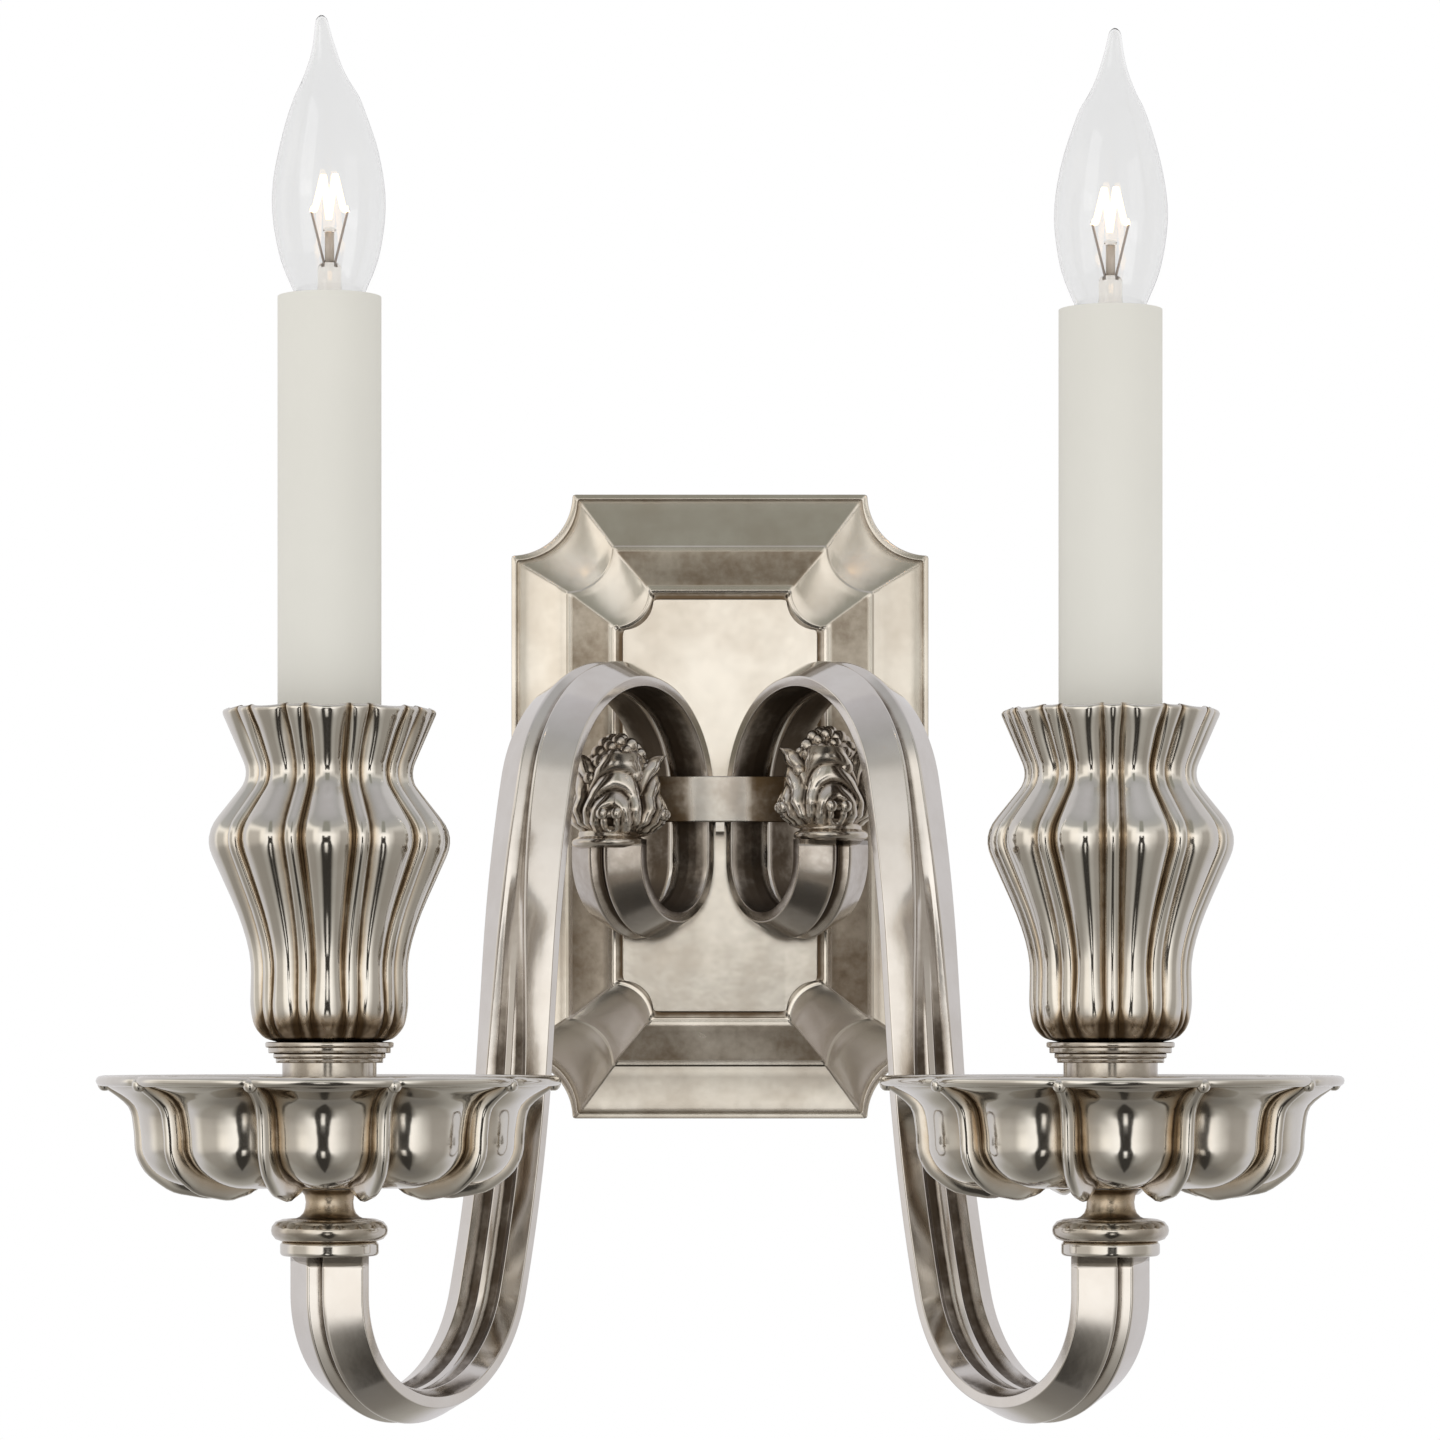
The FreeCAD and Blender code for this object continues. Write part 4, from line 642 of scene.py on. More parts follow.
def make_backplate():
    rings, grooves = [], []
    for place, groove, on_band in plate_profile():
        ring = scooped_ring(*place)
        rings.append([point for point, _ in ring])
        # A band's painted shade is mostly left off its scoops.
        for _, straight in ring:
            grooves.append(groove * SCOOP_SHARE if on_band and not straight else groove)
    front = skin(rings, grooves, cap_last=True)
    make_piece("backplate_face", [front], "plated_plate", ["backplate"], weighted=True)


# ---- Fluted cups and drip dishes

FLUTES = 10
HALF_FLUTE = pi / FLUTES
# A flute has a lobe with a rib beside it, and a groove between them.
LOBE_STEPS, RIB_STEPS, LEAST_LOBE = 9, 6, 0.3
GROOVE_SHARE, GROOVE_CUT = 0.24, 0.2
LOBE_STAIN, LOBE_END_STAIN, INSIDE_STAIN = 0.62, 0.72, 0.15
EDGE_STEPS, INNER_RADIUS = 5, 15.0
BY_RADIUS, BY_HEIGHT = 0, 1


def across_flute(row):
    """Half a flute: (angle from the lobe's middle, offset from the outline, groove)."""
    lobe_end = max(LEAST_LOBE, 1.0 - row["rib"] / (row["radius"] * HALF_FLUTE))
    room = 1.0 - lobe_end
    depth, crest = row["depth"], row["crest"]
    half = []
    for step in range(LOBE_STEPS):
        share = step / LOBE_STEPS
        half.append((share * lobe_end, -depth * share ** row["swell"], LOBE_STAIN * share ** row["wash"]))
    half.append((lobe_end, -depth, LOBE_END_STAIN))
    half.append((lobe_end + room * GROOVE_SHARE, -depth - GROOVE_CUT, 1.0))
    for step in range(1, RIB_STEPS + 1):
        turn = QUARTER_TURN * step / RIB_STEPS
        place = 1.0 - room * (1.0 - GROOVE_SHARE) * cos(turn)
        half.append((place, -depth + (depth + crest) * sin(turn), LOBE_STAIN * cos(turn) ** 2))
    return [(place * HALF_FLUTE, offset, groove) for place, offset, groove in half]


def fluted_skin(rows, centre, turn):
    rings, grooves = [], []
    for row in rows:
        half = across_flute(row)
        flute = [(-angle, offset, groove) for angle, offset, groove in half[1:-1][::-1]] + half
        ring = []
        for number in range(FLUTES):
            middle = turn + number * 2.0 * HALF_FLUTE
            for angle, relief, groove in flute:
                offset = relief * row["relief"] + row["shift"]
                radius = row["radius"] + row["normal"].x * offset
                height = row["height"] + row["normal"].y * offset
                ring.append(centre + facing_point(radius, middle + angle, height))
                grooves.append(min(1.0, groove + row["tarnish"]))
        rings.append(ring)
    return skin(rings, grooves, looped=True)


def outline_rows(path, wall, shape, by):
    """Rows out along a path, over its rim and back on the inside of the wall. The shape's tables are
    read by radius or by height."""
    rows = []
    last = len(path) - 1
    for i, point in enumerate(path):
        ahead = (path[min(last, i + 1)] - path[max(0, i - 1)]).normalized()
        row = {name: along(table, point[by]) for name, table in shape.items()}
        row.update(radius=point.x, height=point.y, normal=Vector((ahead.y, -ahead.x)), shift=0.0)
        rows.append(row)
    edge = rows[-1]
    rim = []
    for step in range(1, EDGE_STEPS):
        turn = pi * step / EDGE_STEPS
        lift = Vector((-edge["normal"].y, edge["normal"].x)) * (wall / 2.0 * sin(turn))
        radius, height = edge["radius"] + lift.x, edge["height"] + lift.y
        shift = -wall / 2.0 + wall / 2.0 * cos(turn)
        rim.append(dict(edge, radius=radius, height=height, shift=shift, tarnish=0.0))
    wide = [row for row in rows[::-1] if row["radius"] > INNER_RADIUS]
    return rows + rim + [dict(row, shift=-wall, tarnish=INSIDE_STAIN) for row in wide]


# Outlines are (radius, height). Flutes have a lobe's depth and swell, a rib's crest and width, the wash
# of the stain over the lobe, more tarnish, and a share of relief. A single row holds throughout.
CUP_WALL, CUP_LONGEST = 1.9, 3.0
CUP_CORNERS = (
    (14.6, 0.0), (18.6, 1.0), (21.4, 4.0), (22.6, 9.5),
    (22.2, 27.0), (35.8, 57.2), (22.7, 73.4), (30.2, 90.6),
)
CUP_ROUNDING = (0.0, 1.7, 2.4, 2.6, 14.0, 6.6, 4.6, 0.0)
CUP_FLUTES = {
    "depth": ((0.0, 0.7), (4.0, 1.3), (20.0, 2.0), (57.0, 3.0), (73.0, 2.2), (84.0, 2.4), (90.0, 1.5)),
    "crest": ((0.0, -0.7),),
    "rib": ((0.0, 2.4), (20.0, 2.9), (57.0, 3.1), (73.0, 2.9), (93.0, 3.6)),
    "swell": ((0.0, 2.6),),
    "wash": ((0.0, 3.2),),
    "tarnish": ((0.0, 0.66), (5.0, 0.60), (10.0, 0.05), (93.0, 0.0)),
    "relief": ((0.0, 0.0), (2.6, 1.0), (93.0, 1.0)),
}


def make_cup(name, axis, turn):
    low, _ = node_box(name + "_fluted_cup")
    path = refined(softened(CUP_CORNERS, CUP_ROUNDING, 6, closed=False), CUP_LONGEST)
    cup = fluted_skin(outline_rows(path, CUP_WALL, CUP_FLUTES, BY_HEIGHT), raised(axis, low.z), turn)
    make_piece(name + "_cup_casting", [cup], "plated_cup", [name + "_fluted_cup"])


DISH_WALL, DISH_LONGEST = 1.8, 2.2
DISH_CORNERS = (
    (16.0, 0.1), (34.0, 0.5), (42.5, 1.2), (49.0, 4.4),
    (52.6, 9.5), (53.3, 16.0), (55.0, 23.0), (61.6, 27.9),
)
DISH_FLUTES = {
    "depth": ((16.0, 0.0), (25.0, 0.6), (34.0, 2.6), (45.0, 3.5), (53.0, 3.9), (56.0, 2.6), (62.0, 0.9)),
    "crest": (
        (16.0, 0.0), (24.0, 0.0), (27.5, 2.2), (33.0, 3.5),
        (41.0, 2.7), (49.0, 1.5), (54.0, 0.9), (62.0, 0.5),
    ),
    "rib": ((16.0, 1.2), (24.0, 2.2), (34.0, 3.4), (53.0, 3.3), (62.0, 2.6)),
    "swell": ((0.0, 2.0),),
    "wash": ((0.0, 2.2),),
    "tarnish": ((0.0, 0.0),),
    "relief": ((0.0, 1.0),),
}
HUB_BORE, HUB_RADIUS = 4.9, 17.0
# The rolled rim, a little wider than high, and tucked in sharply at every rib, under a round nub.
RIM_BEAD, RIM_WIDEN, RIM_REACH, RIM_TUCK, TUCK_POWER = 1.45, 1.1, 63.0, 1.3, 8
RIM_STEPS, RIM_SIDES = 24, 12
NUB_RADIUS, NUB_OUT, NUB_DOWN, NUB_STAIN = 2.0, 0.5, 0.9, 0.1
NECK_ABOVE_DISH = 3.5


def rim_skin(centre, turn):
    rings = []
    for i in range(FLUTES * RIM_STEPS):
        facing = turn + FULL_TURN * i / (FLUTES * RIM_STEPS)
        place = abs((i / RIM_STEPS + 0.5) % 1.0 - 0.5) * 2.0
        reach = RIM_REACH - RIM_TUCK * place**TUCK_POWER
        ring = []
        for side in range(RIM_SIDES):
            angle = FULL_TURN * side / RIM_SIDES
            radius = reach + RIM_BEAD * RIM_WIDEN * cos(angle)
            ring.append(centre + facing_point(radius, facing, RIM_BEAD * sin(angle)))
        rings.append(ring)
    return skin(rings, looped=True)


def make_dish(name, axis, turn):
    """The ribbed dish on the stem, with its hub, rolled rim and nubs."""
    floor = node_box(name + "_stem")[1].z
    rim_top = node_box(name + "_neck_tube")[1].z - NECK_ABOVE_DISH
    centre, rim = raised(axis, floor), raised(axis, rim_top - RIM_BEAD)
    path = refined(curve_through(DISH_CORNERS, 4), DISH_LONGEST)
    rows = outline_rows(path, DISH_WALL, DISH_FLUTES, BY_RADIUS)
    skins = [fluted_skin(rows, centre, turn), rim_skin(rim, turn)]
    for number in range(FLUTES):
        facing = turn + (2 * number + 1) * HALF_FLUTE
        spot = rim + facing_point(RIM_REACH - RIM_TUCK + NUB_OUT, facing, -NUB_DOWN)
        skins.append(ball(spot, NUB_RADIUS, groove=NUB_STAIN))
    hub = ((HUB_BORE, 0.0), (HUB_RADIUS, 0.0), (HUB_RADIUS, DISH_WALL), (HUB_BORE, DISH_WALL))
    skins.append(turned(hub, centre, 48, looped=True))
    make_piece(name + "_dish_casting", skins, "plated_cup", [name + "_drip_dish"])


# Turned steps on the candle's axis: piece, node, and (radius, height above its foot, stain) upwards.
STEPS = {
    "_waisted_stem": ("_stem", (
        (5.0, 0.0, 0.9), (13.1, 0.0, 0.6), (15.0, 0.7, 0.2), (16.0, 2.0, 0.0), (16.2, 3.1, 0.0),
        (16.0, 4.2, 0.0), (15.0, 5.5, 0.0), (13.1, 6.2, 0.2), (9.4, 6.4, 0.75), (8.3, 6.9, 0.7),
        (7.3, 7.9, 0.6), (6.8, 9.2, 0.5), (6.6, 11.0, 0.5), (6.9, 12.8, 0.65), (7.8, 14.0, 0.8),
        (9.0, 14.9, 0.9), (5.0, 14.9, 0.9),
    )),
    "_foot_step": ("_foot_ring", (
        (12.0, 0.0, 0.9), (16.8, 0.0, 0.8), (17.0, 0.2, 0.1), (17.0, 1.4, 0.1), (17.0, 1.5, 0.9),
        (17.6, 1.6, 0.6), (17.8, 1.9, 0.0), (17.8, 2.8, 0.0), (17.5, 3.1, 0.0), (12.0, 3.1, 0.6),
    )),
    "_washer_step": ("_washer", (
        (12.0, 0.0, 0.9), (14.7, 0.0, 0.8), (14.9, 0.2, 0.1), (14.9, 1.1, 0.1), (14.9, 1.2, 0.9),
        (15.4, 1.3, 0.6), (15.6, 1.6, 0.0), (15.6, 2.4, 0.0), (15.4, 2.7, 0.7), (12.0, 2.7, 0.9),
    )),
}


def make_steps(name, axis):
    for piece, (node, step) in STEPS.items():
        low, _ = node_box(name + node)
        profile, stains = [point[:2] for point in step], [point[2] for point in step]
        ring = turned(profile, raised(axis, low.z), looped=True, groove=stains)
        # The stem and rings take the neck's darker metal, which is partly painted shade.
        make_piece(name + piece, [ring], "plated_cup", [name + node], weighted=True, finish="plated_neck")


# ---- Buds, their collars and the band

BUD_LEAVES, BUD_RISE, BUD_SINK = 4, 25.0, 1.6
BUD_CORE = (
    (0.0, -0.5), (8.0, 0.0), (11.0, 3.5), (11.4, 10.0), (9.8, 18.0), (8.6, 23.0), (5.0, 26.6), (0.0, 27.6),
)
CORE_STAIN = 0.6
# A leaf from its foot to its tip, as (share of the rise, half its width in radians or its reach).
LEAF_COLUMNS, LEAF_ROWS = 28, 40
LEAF_WIDTH = ((0.0, 0.86), (0.50, 0.86), (0.76, 0.76), (0.92, 0.58), (1.0, 0.36))
LEAF_REACH = (
    (0.0, 8.6), (0.05, 11.6), (0.16, 14.4), (0.30, 15.3),
    (0.50, 13.6), (0.70, 12.8), (0.86, 13.2), (1.0, 15.2),
)
# The tip rolls over: above this share it hardly rises. The edges fall away steeply.
TIP_FROM, TIP_RISE = 0.96, 0.2
EDGE_FALL, EDGE_POWER, LEAF_SINK = 2.4, 5, 0.25
LEAF_STAIN, EDGE_STAIN, EDGE_STAIN_POWER = 0.16, 0.5, 8
# Curls nest round an eye low on the leaf: their pitch, depth, spread and crest, and how they fade.
CURL_PITCH, CURL_DEPTH, CURL_ACROSS, CURL_UP = 3.9, 1.6, 1.1, 0.85
CURL_SPREAD, CURL_CREST = 0.9, 0.6
CURL_FADE, CURL_FADE_FROM = 0.55, 0.6
CURL_STAIN, CURL_STAIN_POWER = 1.25, 1.4
EYE_UP, EYE_SIZE, EYE_DEPTH = 3.6, 1.7, 2.2
# A fine split runs up from the eye.
SPLIT_WIDTH, SPLIT_DEPTH, SPLIT_STAIN, SPLIT_FADE, SPLIT_TO = 0.5, 0.5, 0.4, 1.6, 0.8
CURL_END_TURN, CURL_END_REACH, CURL_END_UP, CURL_END_SIZE = radians(9.0), 13.9, 6.4, 1.9
CURL_END_STAIN = 0.12
# Berries fill the crown from its middle outwards, each turned on by the golden angle.
BERRIES, BERRY_REACH, BERRY_RISE, BERRY_FALL = 34, 10.4, 28.9, 0.11
BERRY_RADIUS, BERRY_CHANGE, BERRY_CHANGE_STEP, BERRY_STAIN = 2.3, 0.35, 1.7, 0.5
FIRST_BERRY = 0.3
GOLDEN_TURN = radians(137.5)
COLLAR_RING = (
    (0.0, -0.4), (9.0, -0.4), (9.8, 0.0), (10.7, 0.3), (11.3, 1.2), (10.9, 2.2), (9.9, 2.7), (9.3, 3.0),
)
COLLAR_TOP, COLLAR_ROUNDING, COLLAR_STAIN = 9.1, 0.45, 0.4
# How far aside and down each bud sits, which way its front leaf faces, and how far its tips twist.
BUD_PLACES = {
    "left": (2.6, 2.2, radians(-10.0), radians(20.0)),
    "right": (-1.2, 0.0, radians(14.0), radians(-20.0)),
}


def leaf_skin(centre, turn, twist):
    """One leaf: nested curls round a small eye low down, and a tip that rolls outwards and aside."""
    rings, grooves = [], []
    for row in range(LEAF_ROWS + 1):
        up = row / LEAF_ROWS
        width, reach = along(LEAF_WIDTH, up), along(LEAF_REACH, up)
        height = BUD_RISE * min(up, TIP_FROM + (up - TIP_FROM) * TIP_RISE)
        fade = 1.0 - CURL_FADE * max(0.0, up - CURL_FADE_FROM) / (1.0 - CURL_FADE_FROM)
        ring = []
        for column in range(LEAF_COLUMNS + 1):
            aside = column / LEAF_COLUMNS * 2.0 - 1.0
            angle = aside * width
            across = reach * angle
            away = hypot(across * CURL_ACROSS, (height - EYE_UP) * CURL_UP)
            wave = abs(sin(pi * (away / CURL_PITCH) ** CURL_SPREAD)) ** CURL_CREST
            relief = CURL_DEPTH * (wave - 1.0) * fade
            groove = (1.0 - wave) ** CURL_STAIN_POWER * CURL_STAIN * fade
            if away < EYE_SIZE:
                relief, groove = -EYE_DEPTH, 1.0
            elif height > EYE_UP and up < SPLIT_TO:
                split = exp(-((across / SPLIT_WIDTH) ** 2)) * max(0.0, 1.0 - up * SPLIT_FADE)
                relief -= SPLIT_DEPTH * split
                groove += SPLIT_STAIN * split
            relief -= EDGE_FALL * abs(aside) ** EDGE_POWER + LEAF_SINK
            facing = turn + angle + twist * up * up
            ring.append(centre + facing_point(reach + relief, facing, height))
            edge = EDGE_STAIN * abs(aside) ** EDGE_STAIN_POWER
            grooves.append(min(1.0, LEAF_STAIN + groove + edge))
        rings.append(ring)
    return skin(rings, grooves, closed=False)


def berry_skins(foot):
    berries = []
    for number in range(BERRIES):
        facing = number * GOLDEN_TURN
        reach = BERRY_REACH * sqrt((number + FIRST_BERRY) / BERRIES)
        rise = BERRY_RISE - reach * reach * BERRY_FALL
        spot = foot + Vector((reach * cos(facing), reach * sin(facing), rise))
        radius = BERRY_RADIUS + BERRY_CHANGE * sin(number * BERRY_CHANGE_STEP)
        berries.append(ball(spot, radius, 12, 7, BERRY_STAIN))
    return berries


def make_bud(name, shift, drop, turn, twist):
    """The leaf bud with its berries, on a ring collar."""
    node = name + "_bud_collar"
    low, high = node_box(node)
    axis = axis_of(node)
    foot = axis + Vector((shift, 0.0, high.z - drop - BUD_SINK))
    skins = [turned(curve_through(BUD_CORE, 3)[1:-1], foot, 32, True, True, groove=CORE_STAIN)]
    for number in range(BUD_LEAVES):
        middle = turn + number * FULL_TURN / BUD_LEAVES
        skins.append(leaf_skin(foot, middle, twist))
        for aside in (-CURL_END_TURN, CURL_END_TURN):
            spot = foot + facing_point(CURL_END_REACH, middle + aside, CURL_END_UP)
            skins.append(ball(spot, CURL_END_SIZE, groove=CURL_END_STAIN))
    skins += berry_skins(foot)
    make_piece(name + "_leaf_bud", skins, "plated_bud", [name + "_bud"])
    height = high.z - low.z
    corners = (*COLLAR_RING, (COLLAR_TOP, height), (0.0, height))
    profile = softened(corners, COLLAR_ROUNDING, closed=False)[1:-1]
    ring = turned(profile, raised(axis, low.z - drop), 64, True, True, groove=COLLAR_STAIN)
    make_piece(name + "_ring_collar", [ring], "plated_bud", [node])


BAND_BOW, BAND_THICKNESS, BAND_ROUNDING, BAND_STEPS = 2.6, 1.6, 0.45, 36
# Painted shade: the band darkens towards its ends, standing in for dark reflections on its bowed
# sides. A faint line runs down its middle.
BAND_END_SHADE = ((0.0, 0.0), (5.5, 0.08), (11.0, 0.85), (30.0, 0.95))
LINE_HALF, LINE_STAIN = 0.4, 0.22


def make_band():
    low, high = node_box("arm_band")
    rings, grooves = [], []
    for step in range(BAND_STEPS + 1):
        x = low.x + (high.x - low.x) * step / BAND_STEPS
        front = low.y + BAND_BOW * (x / high.x) ** 2
        back = front + BAND_THICKNESS
        corners = ((x, front, low.z), (x, back, low.z), (x, back, high.z), (x, front, high.z))
        ring = softened(corners, BAND_ROUNDING, 4)[::-1]
        rings.append(ring)
        line = LINE_STAIN if abs(x) < LINE_HALF else 0.0
        # Painted shade darkens the band towards its ends; the middle line is a faint stain.
        grooves += [max(along(BAND_END_SHADE, abs(x)), line)] * len(ring)
    strap = skin(rings, grooves, cap_first=True, cap_last=True)
    make_piece("scroll_band", [strap], "plated_band", ["arm_band"], weighted=True)


# ---- Lamps, from the top of their caps

FLAME_PROFILE = (
    (6.0, 0.0), (8.3, 2.4), (10.6, 6.5), (14.1, 16.1), (15.8, 30.0), (13.9, 43.9), (9.6, 57.8),
    (6.7, 63.4), (4.4, 68.9), (2.85, 74.5), (1.75, 80.0), (1.0, 81.4), (0.25, 81.9),
)
GLASS_WALL, WALL_SHARE, HOLLOW_TOP, HOLLOW_TIP, GLASS_SIDES = 0.6, 0.4, 81.2, 0.15, 64
# How far each tip leans aside, and what share of that the glass has at each height.
TIP_LEAN = {"left": -2.2, "right": 1.2}
LEAN_SHARE = ((0.0, 0.0), (43.0, 0.12), (57.0, 0.3), (69.0, 0.62), (82.0, 1.0))
STEM_PROFILE = (
    (5.4, 0.05), (4.6, 1.6), (3.7, 4.2), (3.3, 7.4), (3.35, 10.6), (3.1, 12.2), (2.3, 13.0), (1.2, 13.3),
)
ROD_SIDE = ((1.3, 12.6), (1.3, 21.6))
ROD_HEAD = ((1.25, 21.4), (1.75, 21.9), (1.7, 22.6), (0.9, 23.0))
FILAMENT_POINTS = (
    (-5.3, 28.1), (-4.1, 27.7), (-1.7, 37.6), (-0.2, 25.0), (1.5, 37.8), (3.9, 27.7), (5.3, 28.1),
)
WIRE_RADIUS, WIRE_ROUNDING, WIRE_LONGEST, WIRE_SIDES = 0.9, 1.0, 1.5, 10


def glass_rings(profile, foot, lean):
    rings = []
    for radius, height in curve_through(profile, 5):
        drift = Vector((lean * along(LEAN_SHARE, height), 0.0, 0.0))
        rings.append(circle(foot + drift, radius, height, GLASS_SIDES))
    return rings


def make_glass(name, foot):
    """A blown shell with a drawn tip."""
    hollow = [point for point in FLAME_PROFILE if point[1] < HOLLOW_TOP]
    inside = [(radius - min(GLASS_WALL, radius * WALL_SHARE), height) for radius, height in hollow]
    inside.append((HOLLOW_TIP, HOLLOW_TOP))
    outer = glass_rings(FLAME_PROFILE, foot, TIP_LEAN[name])
    inner = glass_rings(inside, foot, TIP_LEAN[name])[::-1]
    shell = skin(outer + inner, looped=True)
    make_piece(name + "_glass_flame", [shell], "lamp_glass", [name + "_lamp_glass"], name + "_lamp")


def make_mount(name, foot):
    """The glass stem with its rod, on which the filament's wires stand."""
    stem = turned(curve_through(STEM_PROFILE, 3), foot, 48, True, True)
    head = turned(curve_through(ROD_HEAD, 3), foot, 32, True, True)
    make_piece(name + "_glass_stem", [stem, head], "stem_glass", [name + "_lamp_mount"], name + "_lamp")
    rod = turned(ROD_SIDE, foot, 32, True, True)
    make_piece(name + "_stem_rod", [rod], "stem_glass", (), name + "_lamp", finish="stem_rod")


def wire_skin(points):
    """A round wire along points that lie in an upright plane facing the room."""
    rings = []
    for before, point, after in zip([points[0]] + points, points, points[1:] + [points[-1]]):
        ahead = (after - before).normalized()
        aside = ahead.cross(Vector((0.0, 1.0, 0.0))).normalized()
        front = aside.cross(ahead)
        angles = [FULL_TURN * step / WIRE_SIDES for step in range(WIRE_SIDES)]
        rings.append([point + (aside * cos(a) + front * sin(a)) * WIRE_RADIUS for a in angles])
    return skin(rings, cap_first=True, cap_last=True)


def make_filament(name, foot):
    corners = [foot + Vector((x, 0.0, z)) for x, z in FILAMENT_POINTS]
    path = refined(softened(corners, WIRE_ROUNDING, 5, closed=False), WIRE_LONGEST)
    run = wire_skin(path)
    make_piece(name + "_glowing_filament", [run], "filament_metal", [name + "_filament"], name + "_lamp")


# ---- Camera, lights and surroundings

# The photograph's eye level and distance, and its focal length and eye line in pixels of its frame.
EYE_LEVEL, CAMERA_AWAY = -72.5, 1636.3
FRAME_PIXELS, FOCAL_PIXELS, EYE_LEVEL_PIXEL = 1440.0, 5300.0, 1042.0
SENSOR = 36.0
NEAREST, FARTHEST = 0.05, 20.0


def make_camera():
    data = bpy.data.cameras.new("camera")
    data.sensor_width = SENSOR
    data.lens = SENSOR * FOCAL_PIXELS / FRAME_PIXELS
    data.shift_y = (EYE_LEVEL_PIXEL - FRAME_PIXELS / 2.0) / FRAME_PIXELS
    data.clip_start, data.clip_end = NEAREST, FARTHEST
    camera = placed("camera", data)
    camera.location = Vector((0.0, -CAMERA_AWAY, EYE_LEVEL)) * MM
    camera.rotation_euler = (QUARTER_TURN, 0.0, 0.0)
    bpy.context.scene.camera = camera


# What the metal mirrors, from straight below to straight above, as (height in degrees, colour).
ROOM = (
    (-90.0, (0.19, 0.18, 0.165)), (-66.0, (0.24, 0.225, 0.20)),
    (-48.0, (0.40, 0.385, 0.35)), (-34.0, (0.47, 0.45, 0.41)),
    (-20.0, (0.54, 0.515, 0.475)), (-6.0, (0.70, 0.665, 0.615)),
    (4.0, (1.0, 0.96, 0.90)), (18.0, (1.04, 1.01, 0.96)),
    (36.0, (0.54, 0.535, 0.51)), (56.0, (0.48, 0.48, 0.48)),
    (90.0, (0.64, 0.63, 0.66)),
)
# Boards laid over the room in this order: colour, strength, side of the camera, and the soft edges that
# each starts and ends with, in height and aside. An edge is (from, to) in degrees.
SHEET = ((-24.0, -6.0), (26.0, 38.0)), ((14.0, 34.0), None)
BOARDS = {
    "left sheet": ((1.4, 1.33, 1.21), 0.65, "left", *SHEET),
    "right sheet": ((0.72, 0.69, 0.64), 0.65, "right", *SHEET),
    "flanks": (
        (0.30, 0.275, 0.24), 0.62, "both", ((-74.0, -60.0), (14.0, 30.0)), ((40.0, 58.0), (84.0, 104.0)),
    ),
    "lit band": ((1.4, 1.36, 1.29), 0.9, "both", ((-46.0, -18.0), (8.0, 18.0)), (None, (12.0, 46.0))),
    "top board": ((0.34, 0.34, 0.30), 1.0, "both", ((15.0, 21.0), (52.0, 57.0)), (None, (8.0, 13.0))),
    "behind": ((0.72, 0.71, 0.73), 0.9, "both", ((-46.0, -22.0), None), ((88.0, 118.0), None)),
}
# The dark ground and the dark gap between the sheets, with two windows left open in them.
GROUND, GROUND_STRENGTH = (0.115, 0.105, 0.09), 0.85
GROUND_ZONE = ((-84.0, -66.0), (-36.0, -18.0)), (None, (15.0, 30.0))
LOW_WINDOW = ((-42.0, -39.0), (-19.0, -16.0)), (None, (3.0, 4.4))
HIGH_WINDOW = ((-0.9, 0.2), None), (None, (2.6, 4.0))
GAP, GAP_TOP, GAP_WIDTH, GAP_TAPER = (0.045, 0.041, 0.036), (3.5, 5.5), (9.4, 11.4), 0.03
# Low down, the gap is wider by this much.
GAP_WIDER, WIDER_BELOW = 5.0, (-26.0, -8.0)
WHITE, SOFT_LIGHT = (1.0, 1.0, 1.0), (0.72, 0.72, 0.71)


def mirrored_room(paint):
    """A pale studio: sheets in front, brightest at eye level and on the left, with a narrow dark gap
    between them, a darker board above it, dark flanks low at the sides and a dark ground."""
    direction = paint.node("ShaderNodeTexCoord")["Generated"]
    parts = paint.node("ShaderNodeSeparateXYZ", None, {0: direction})
    height = parts[2].maths("ARCSINE") * degrees(1.0)
    aside = parts[0].maths("ARCTAN2", parts[1] * -1.0) * degrees(1.0)
    off_centre = aside.maths("ABSOLUTE")
    sides = {"left": aside * -1.0, "right": aside, "both": off_centre}
    stops = [((level + 90.0) / 180.0, colour) for level, colour in ROOM]
    room = paint.node("ShaderNodeValToRGB", {"stops": stops}, {0: height * (1.0 / 180.0) + 0.5})["Color"]

    def zone(heights, widths, side="both"):
        return height.inside(*heights) * sides[side].inside(*widths)

    for colour, strength, side, heights, widths in BOARDS.values():
        room = paint.blend(zone(heights, widths, side) * strength, room, colour)
    low_window, high_window = zone(*LOW_WINDOW), zone(*HIGH_WINDOW)
    ground = zone(*GROUND_ZONE) * (1.0 - low_window)
    room = paint.blend(ground * GROUND_STRENGTH, room, GROUND)
    wider = height.inside(None, WIDER_BELOW) * GAP_WIDER
    gap = (off_centre + height * GAP_TAPER - wider).inside(None, GAP_WIDTH) * height.inside(None, GAP_TOP)
    return paint.blend(gap * (1.0 - low_window) * (1.0 - high_window), room, GAP)


def make_surroundings():
    """White to the camera, a mirrored studio to the metal and an even soft light to what is matt."""
    world = bpy.data.worlds.new("studio")
    bpy.context.scene.world = world
    paint = Paint(world)
    glossy = paint.node("ShaderNodeLightPath")["Is Glossy Ray"]
    lit = paint.blend(glossy, SOFT_LIGHT, mirrored_room(paint))
    values = {"Color": paint.blend(paint.seen(), lit, WHITE), "Strength": 1.0}
    background = paint.node("ShaderNodeBackground", None, values)
    paint.node("ShaderNodeOutputWorld", None, {"Surface": background["Background"]})


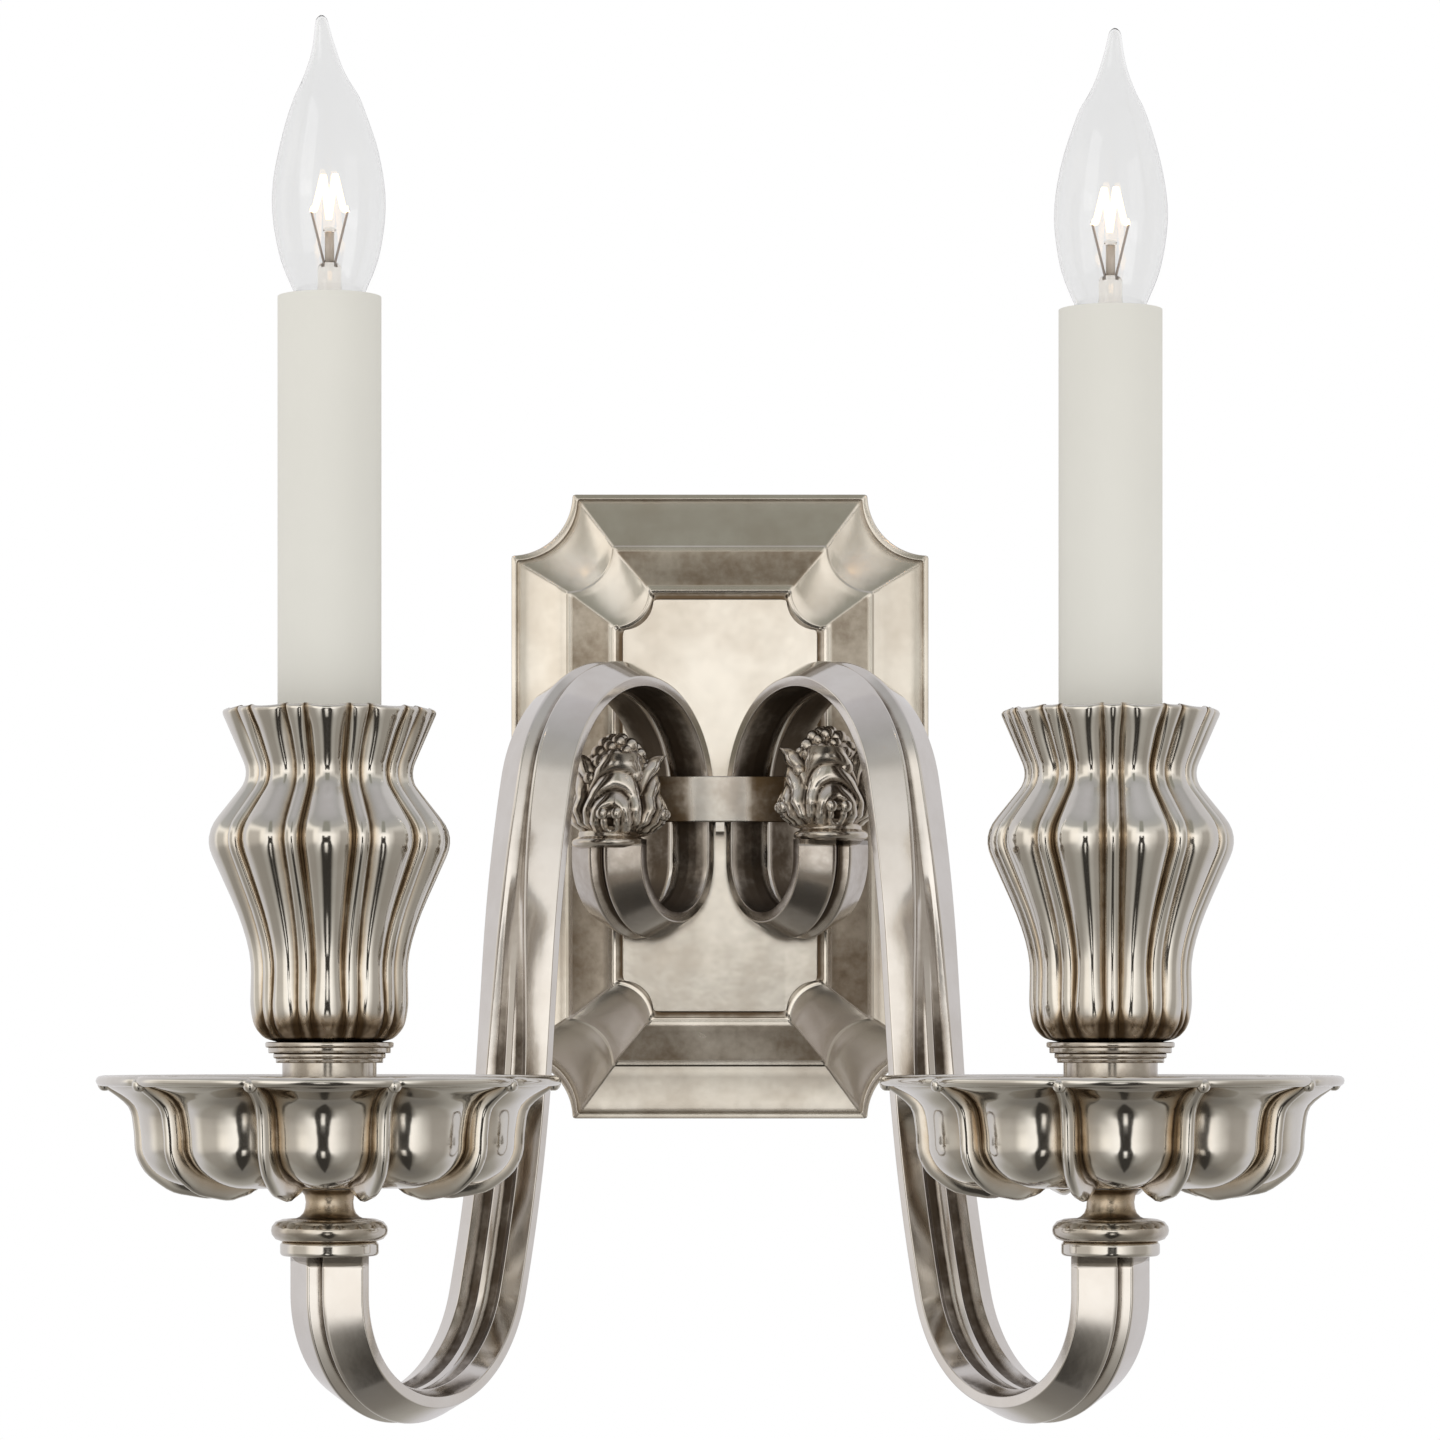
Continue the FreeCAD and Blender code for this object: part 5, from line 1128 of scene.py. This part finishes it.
# Soft lights beside the camera, in metres and watts: place and power.
LIGHTS = {"key_left": ((-1.6, -1.6, 1.2), 9.0), "fill_right": ((1.8, -1.5, 0.6), 5.0)}
LIGHT_TARGET, LIGHT_SIZE = Vector((0.0, -0.1, 0.0)), (1.2, 1.6)


def make_lights():
    for name, (place, power) in LIGHTS.items():
        data = bpy.data.lights.new(name, "AREA")
        data.shape = "RECTANGLE"
        data.size, data.size_y = LIGHT_SIZE
        data.energy = power
        light = placed(name, data)
        light.location = place
        light.rotation_euler = (LIGHT_TARGET - Vector(place)).to_track_quat("-Z", "Y").to_euler()
        light.visible_glossy = False


# The floor in metres, and how much of its white is the camera's alone, so that its shadow stays pale.
FLOOR_CORNERS = ((-4.0, -4.0, -0.42), (4.0, -4.0, -0.42), (4.0, 2.4, -0.42), (-4.0, 2.4, -0.42))
FLOOR_MATT, FLOOR_WHITE_SHARE = (0.9, 0.9, 0.9), 0.9


def make_floor():
    mesh = bpy.data.meshes.new("floor")
    mesh.from_pydata(FLOOR_CORNERS, [], [[0, 1, 2, 3]])
    floor = placed("floor", mesh)
    floor.visible_glossy = False
    material = bpy.data.materials.new("pale_floor")
    paint = Paint(material)
    matt = paint.node("ShaderNodeBsdfDiffuse", None, {"Color": FLOOR_MATT})["BSDF"]
    white = paint.node("ShaderNodeEmission", None, {"Color": WHITE, "Strength": 1.0})["Emission"]
    values = {0: paint.seen() * FLOOR_WHITE_SHARE, 1: matt, 2: white}
    mixed = paint.node("ShaderNodeMixShader", None, values)
    paint.node("ShaderNodeOutputMaterial", None, {"Surface": mixed["Shader"]})
    mesh.materials.append(material)


# ---- The sconce

# How far the cups' and dishes' flutes are turned from facing the room.
CUP_TURNS = {"left": radians(3.0), "right": radians(15.0)}
DISH_TURNS = {"left": radians(2.4), "right": radians(1.2)}

for part in frame["record"]["subparts"]:
    dress(frame["nodes"][part["node"]], part["material_slot"])

for name, side in SIDES.items():
    candle_axis = axis_of(name + "_candle_sleeve")
    lamp_foot = raised(candle_axis, node_box(name + "_lamp_cap")[1].z)
    make_arm(name, side)
    make_bud(name, *BUD_PLACES[name])
    make_cup(name, candle_axis, CUP_TURNS[name])
    make_dish(name, candle_axis, DISH_TURNS[name])
    make_glass(name, lamp_foot)
    make_mount(name, lamp_foot)
    make_filament(name, lamp_foot)
    dress(frame["nodes"][name + "_support_wires"], "support_steel")
    # The neck tube's darker metal is partly painted shade between the dish and the cup.
    dress(frame["nodes"][name + "_neck_tube"], "plated_neck")
    make_steps(name, candle_axis)
make_backplate()
make_band()

make_camera()
make_surroundings()
make_floor()
make_lights()

bpy.context.scene.view_settings.view_transform = "Standard"
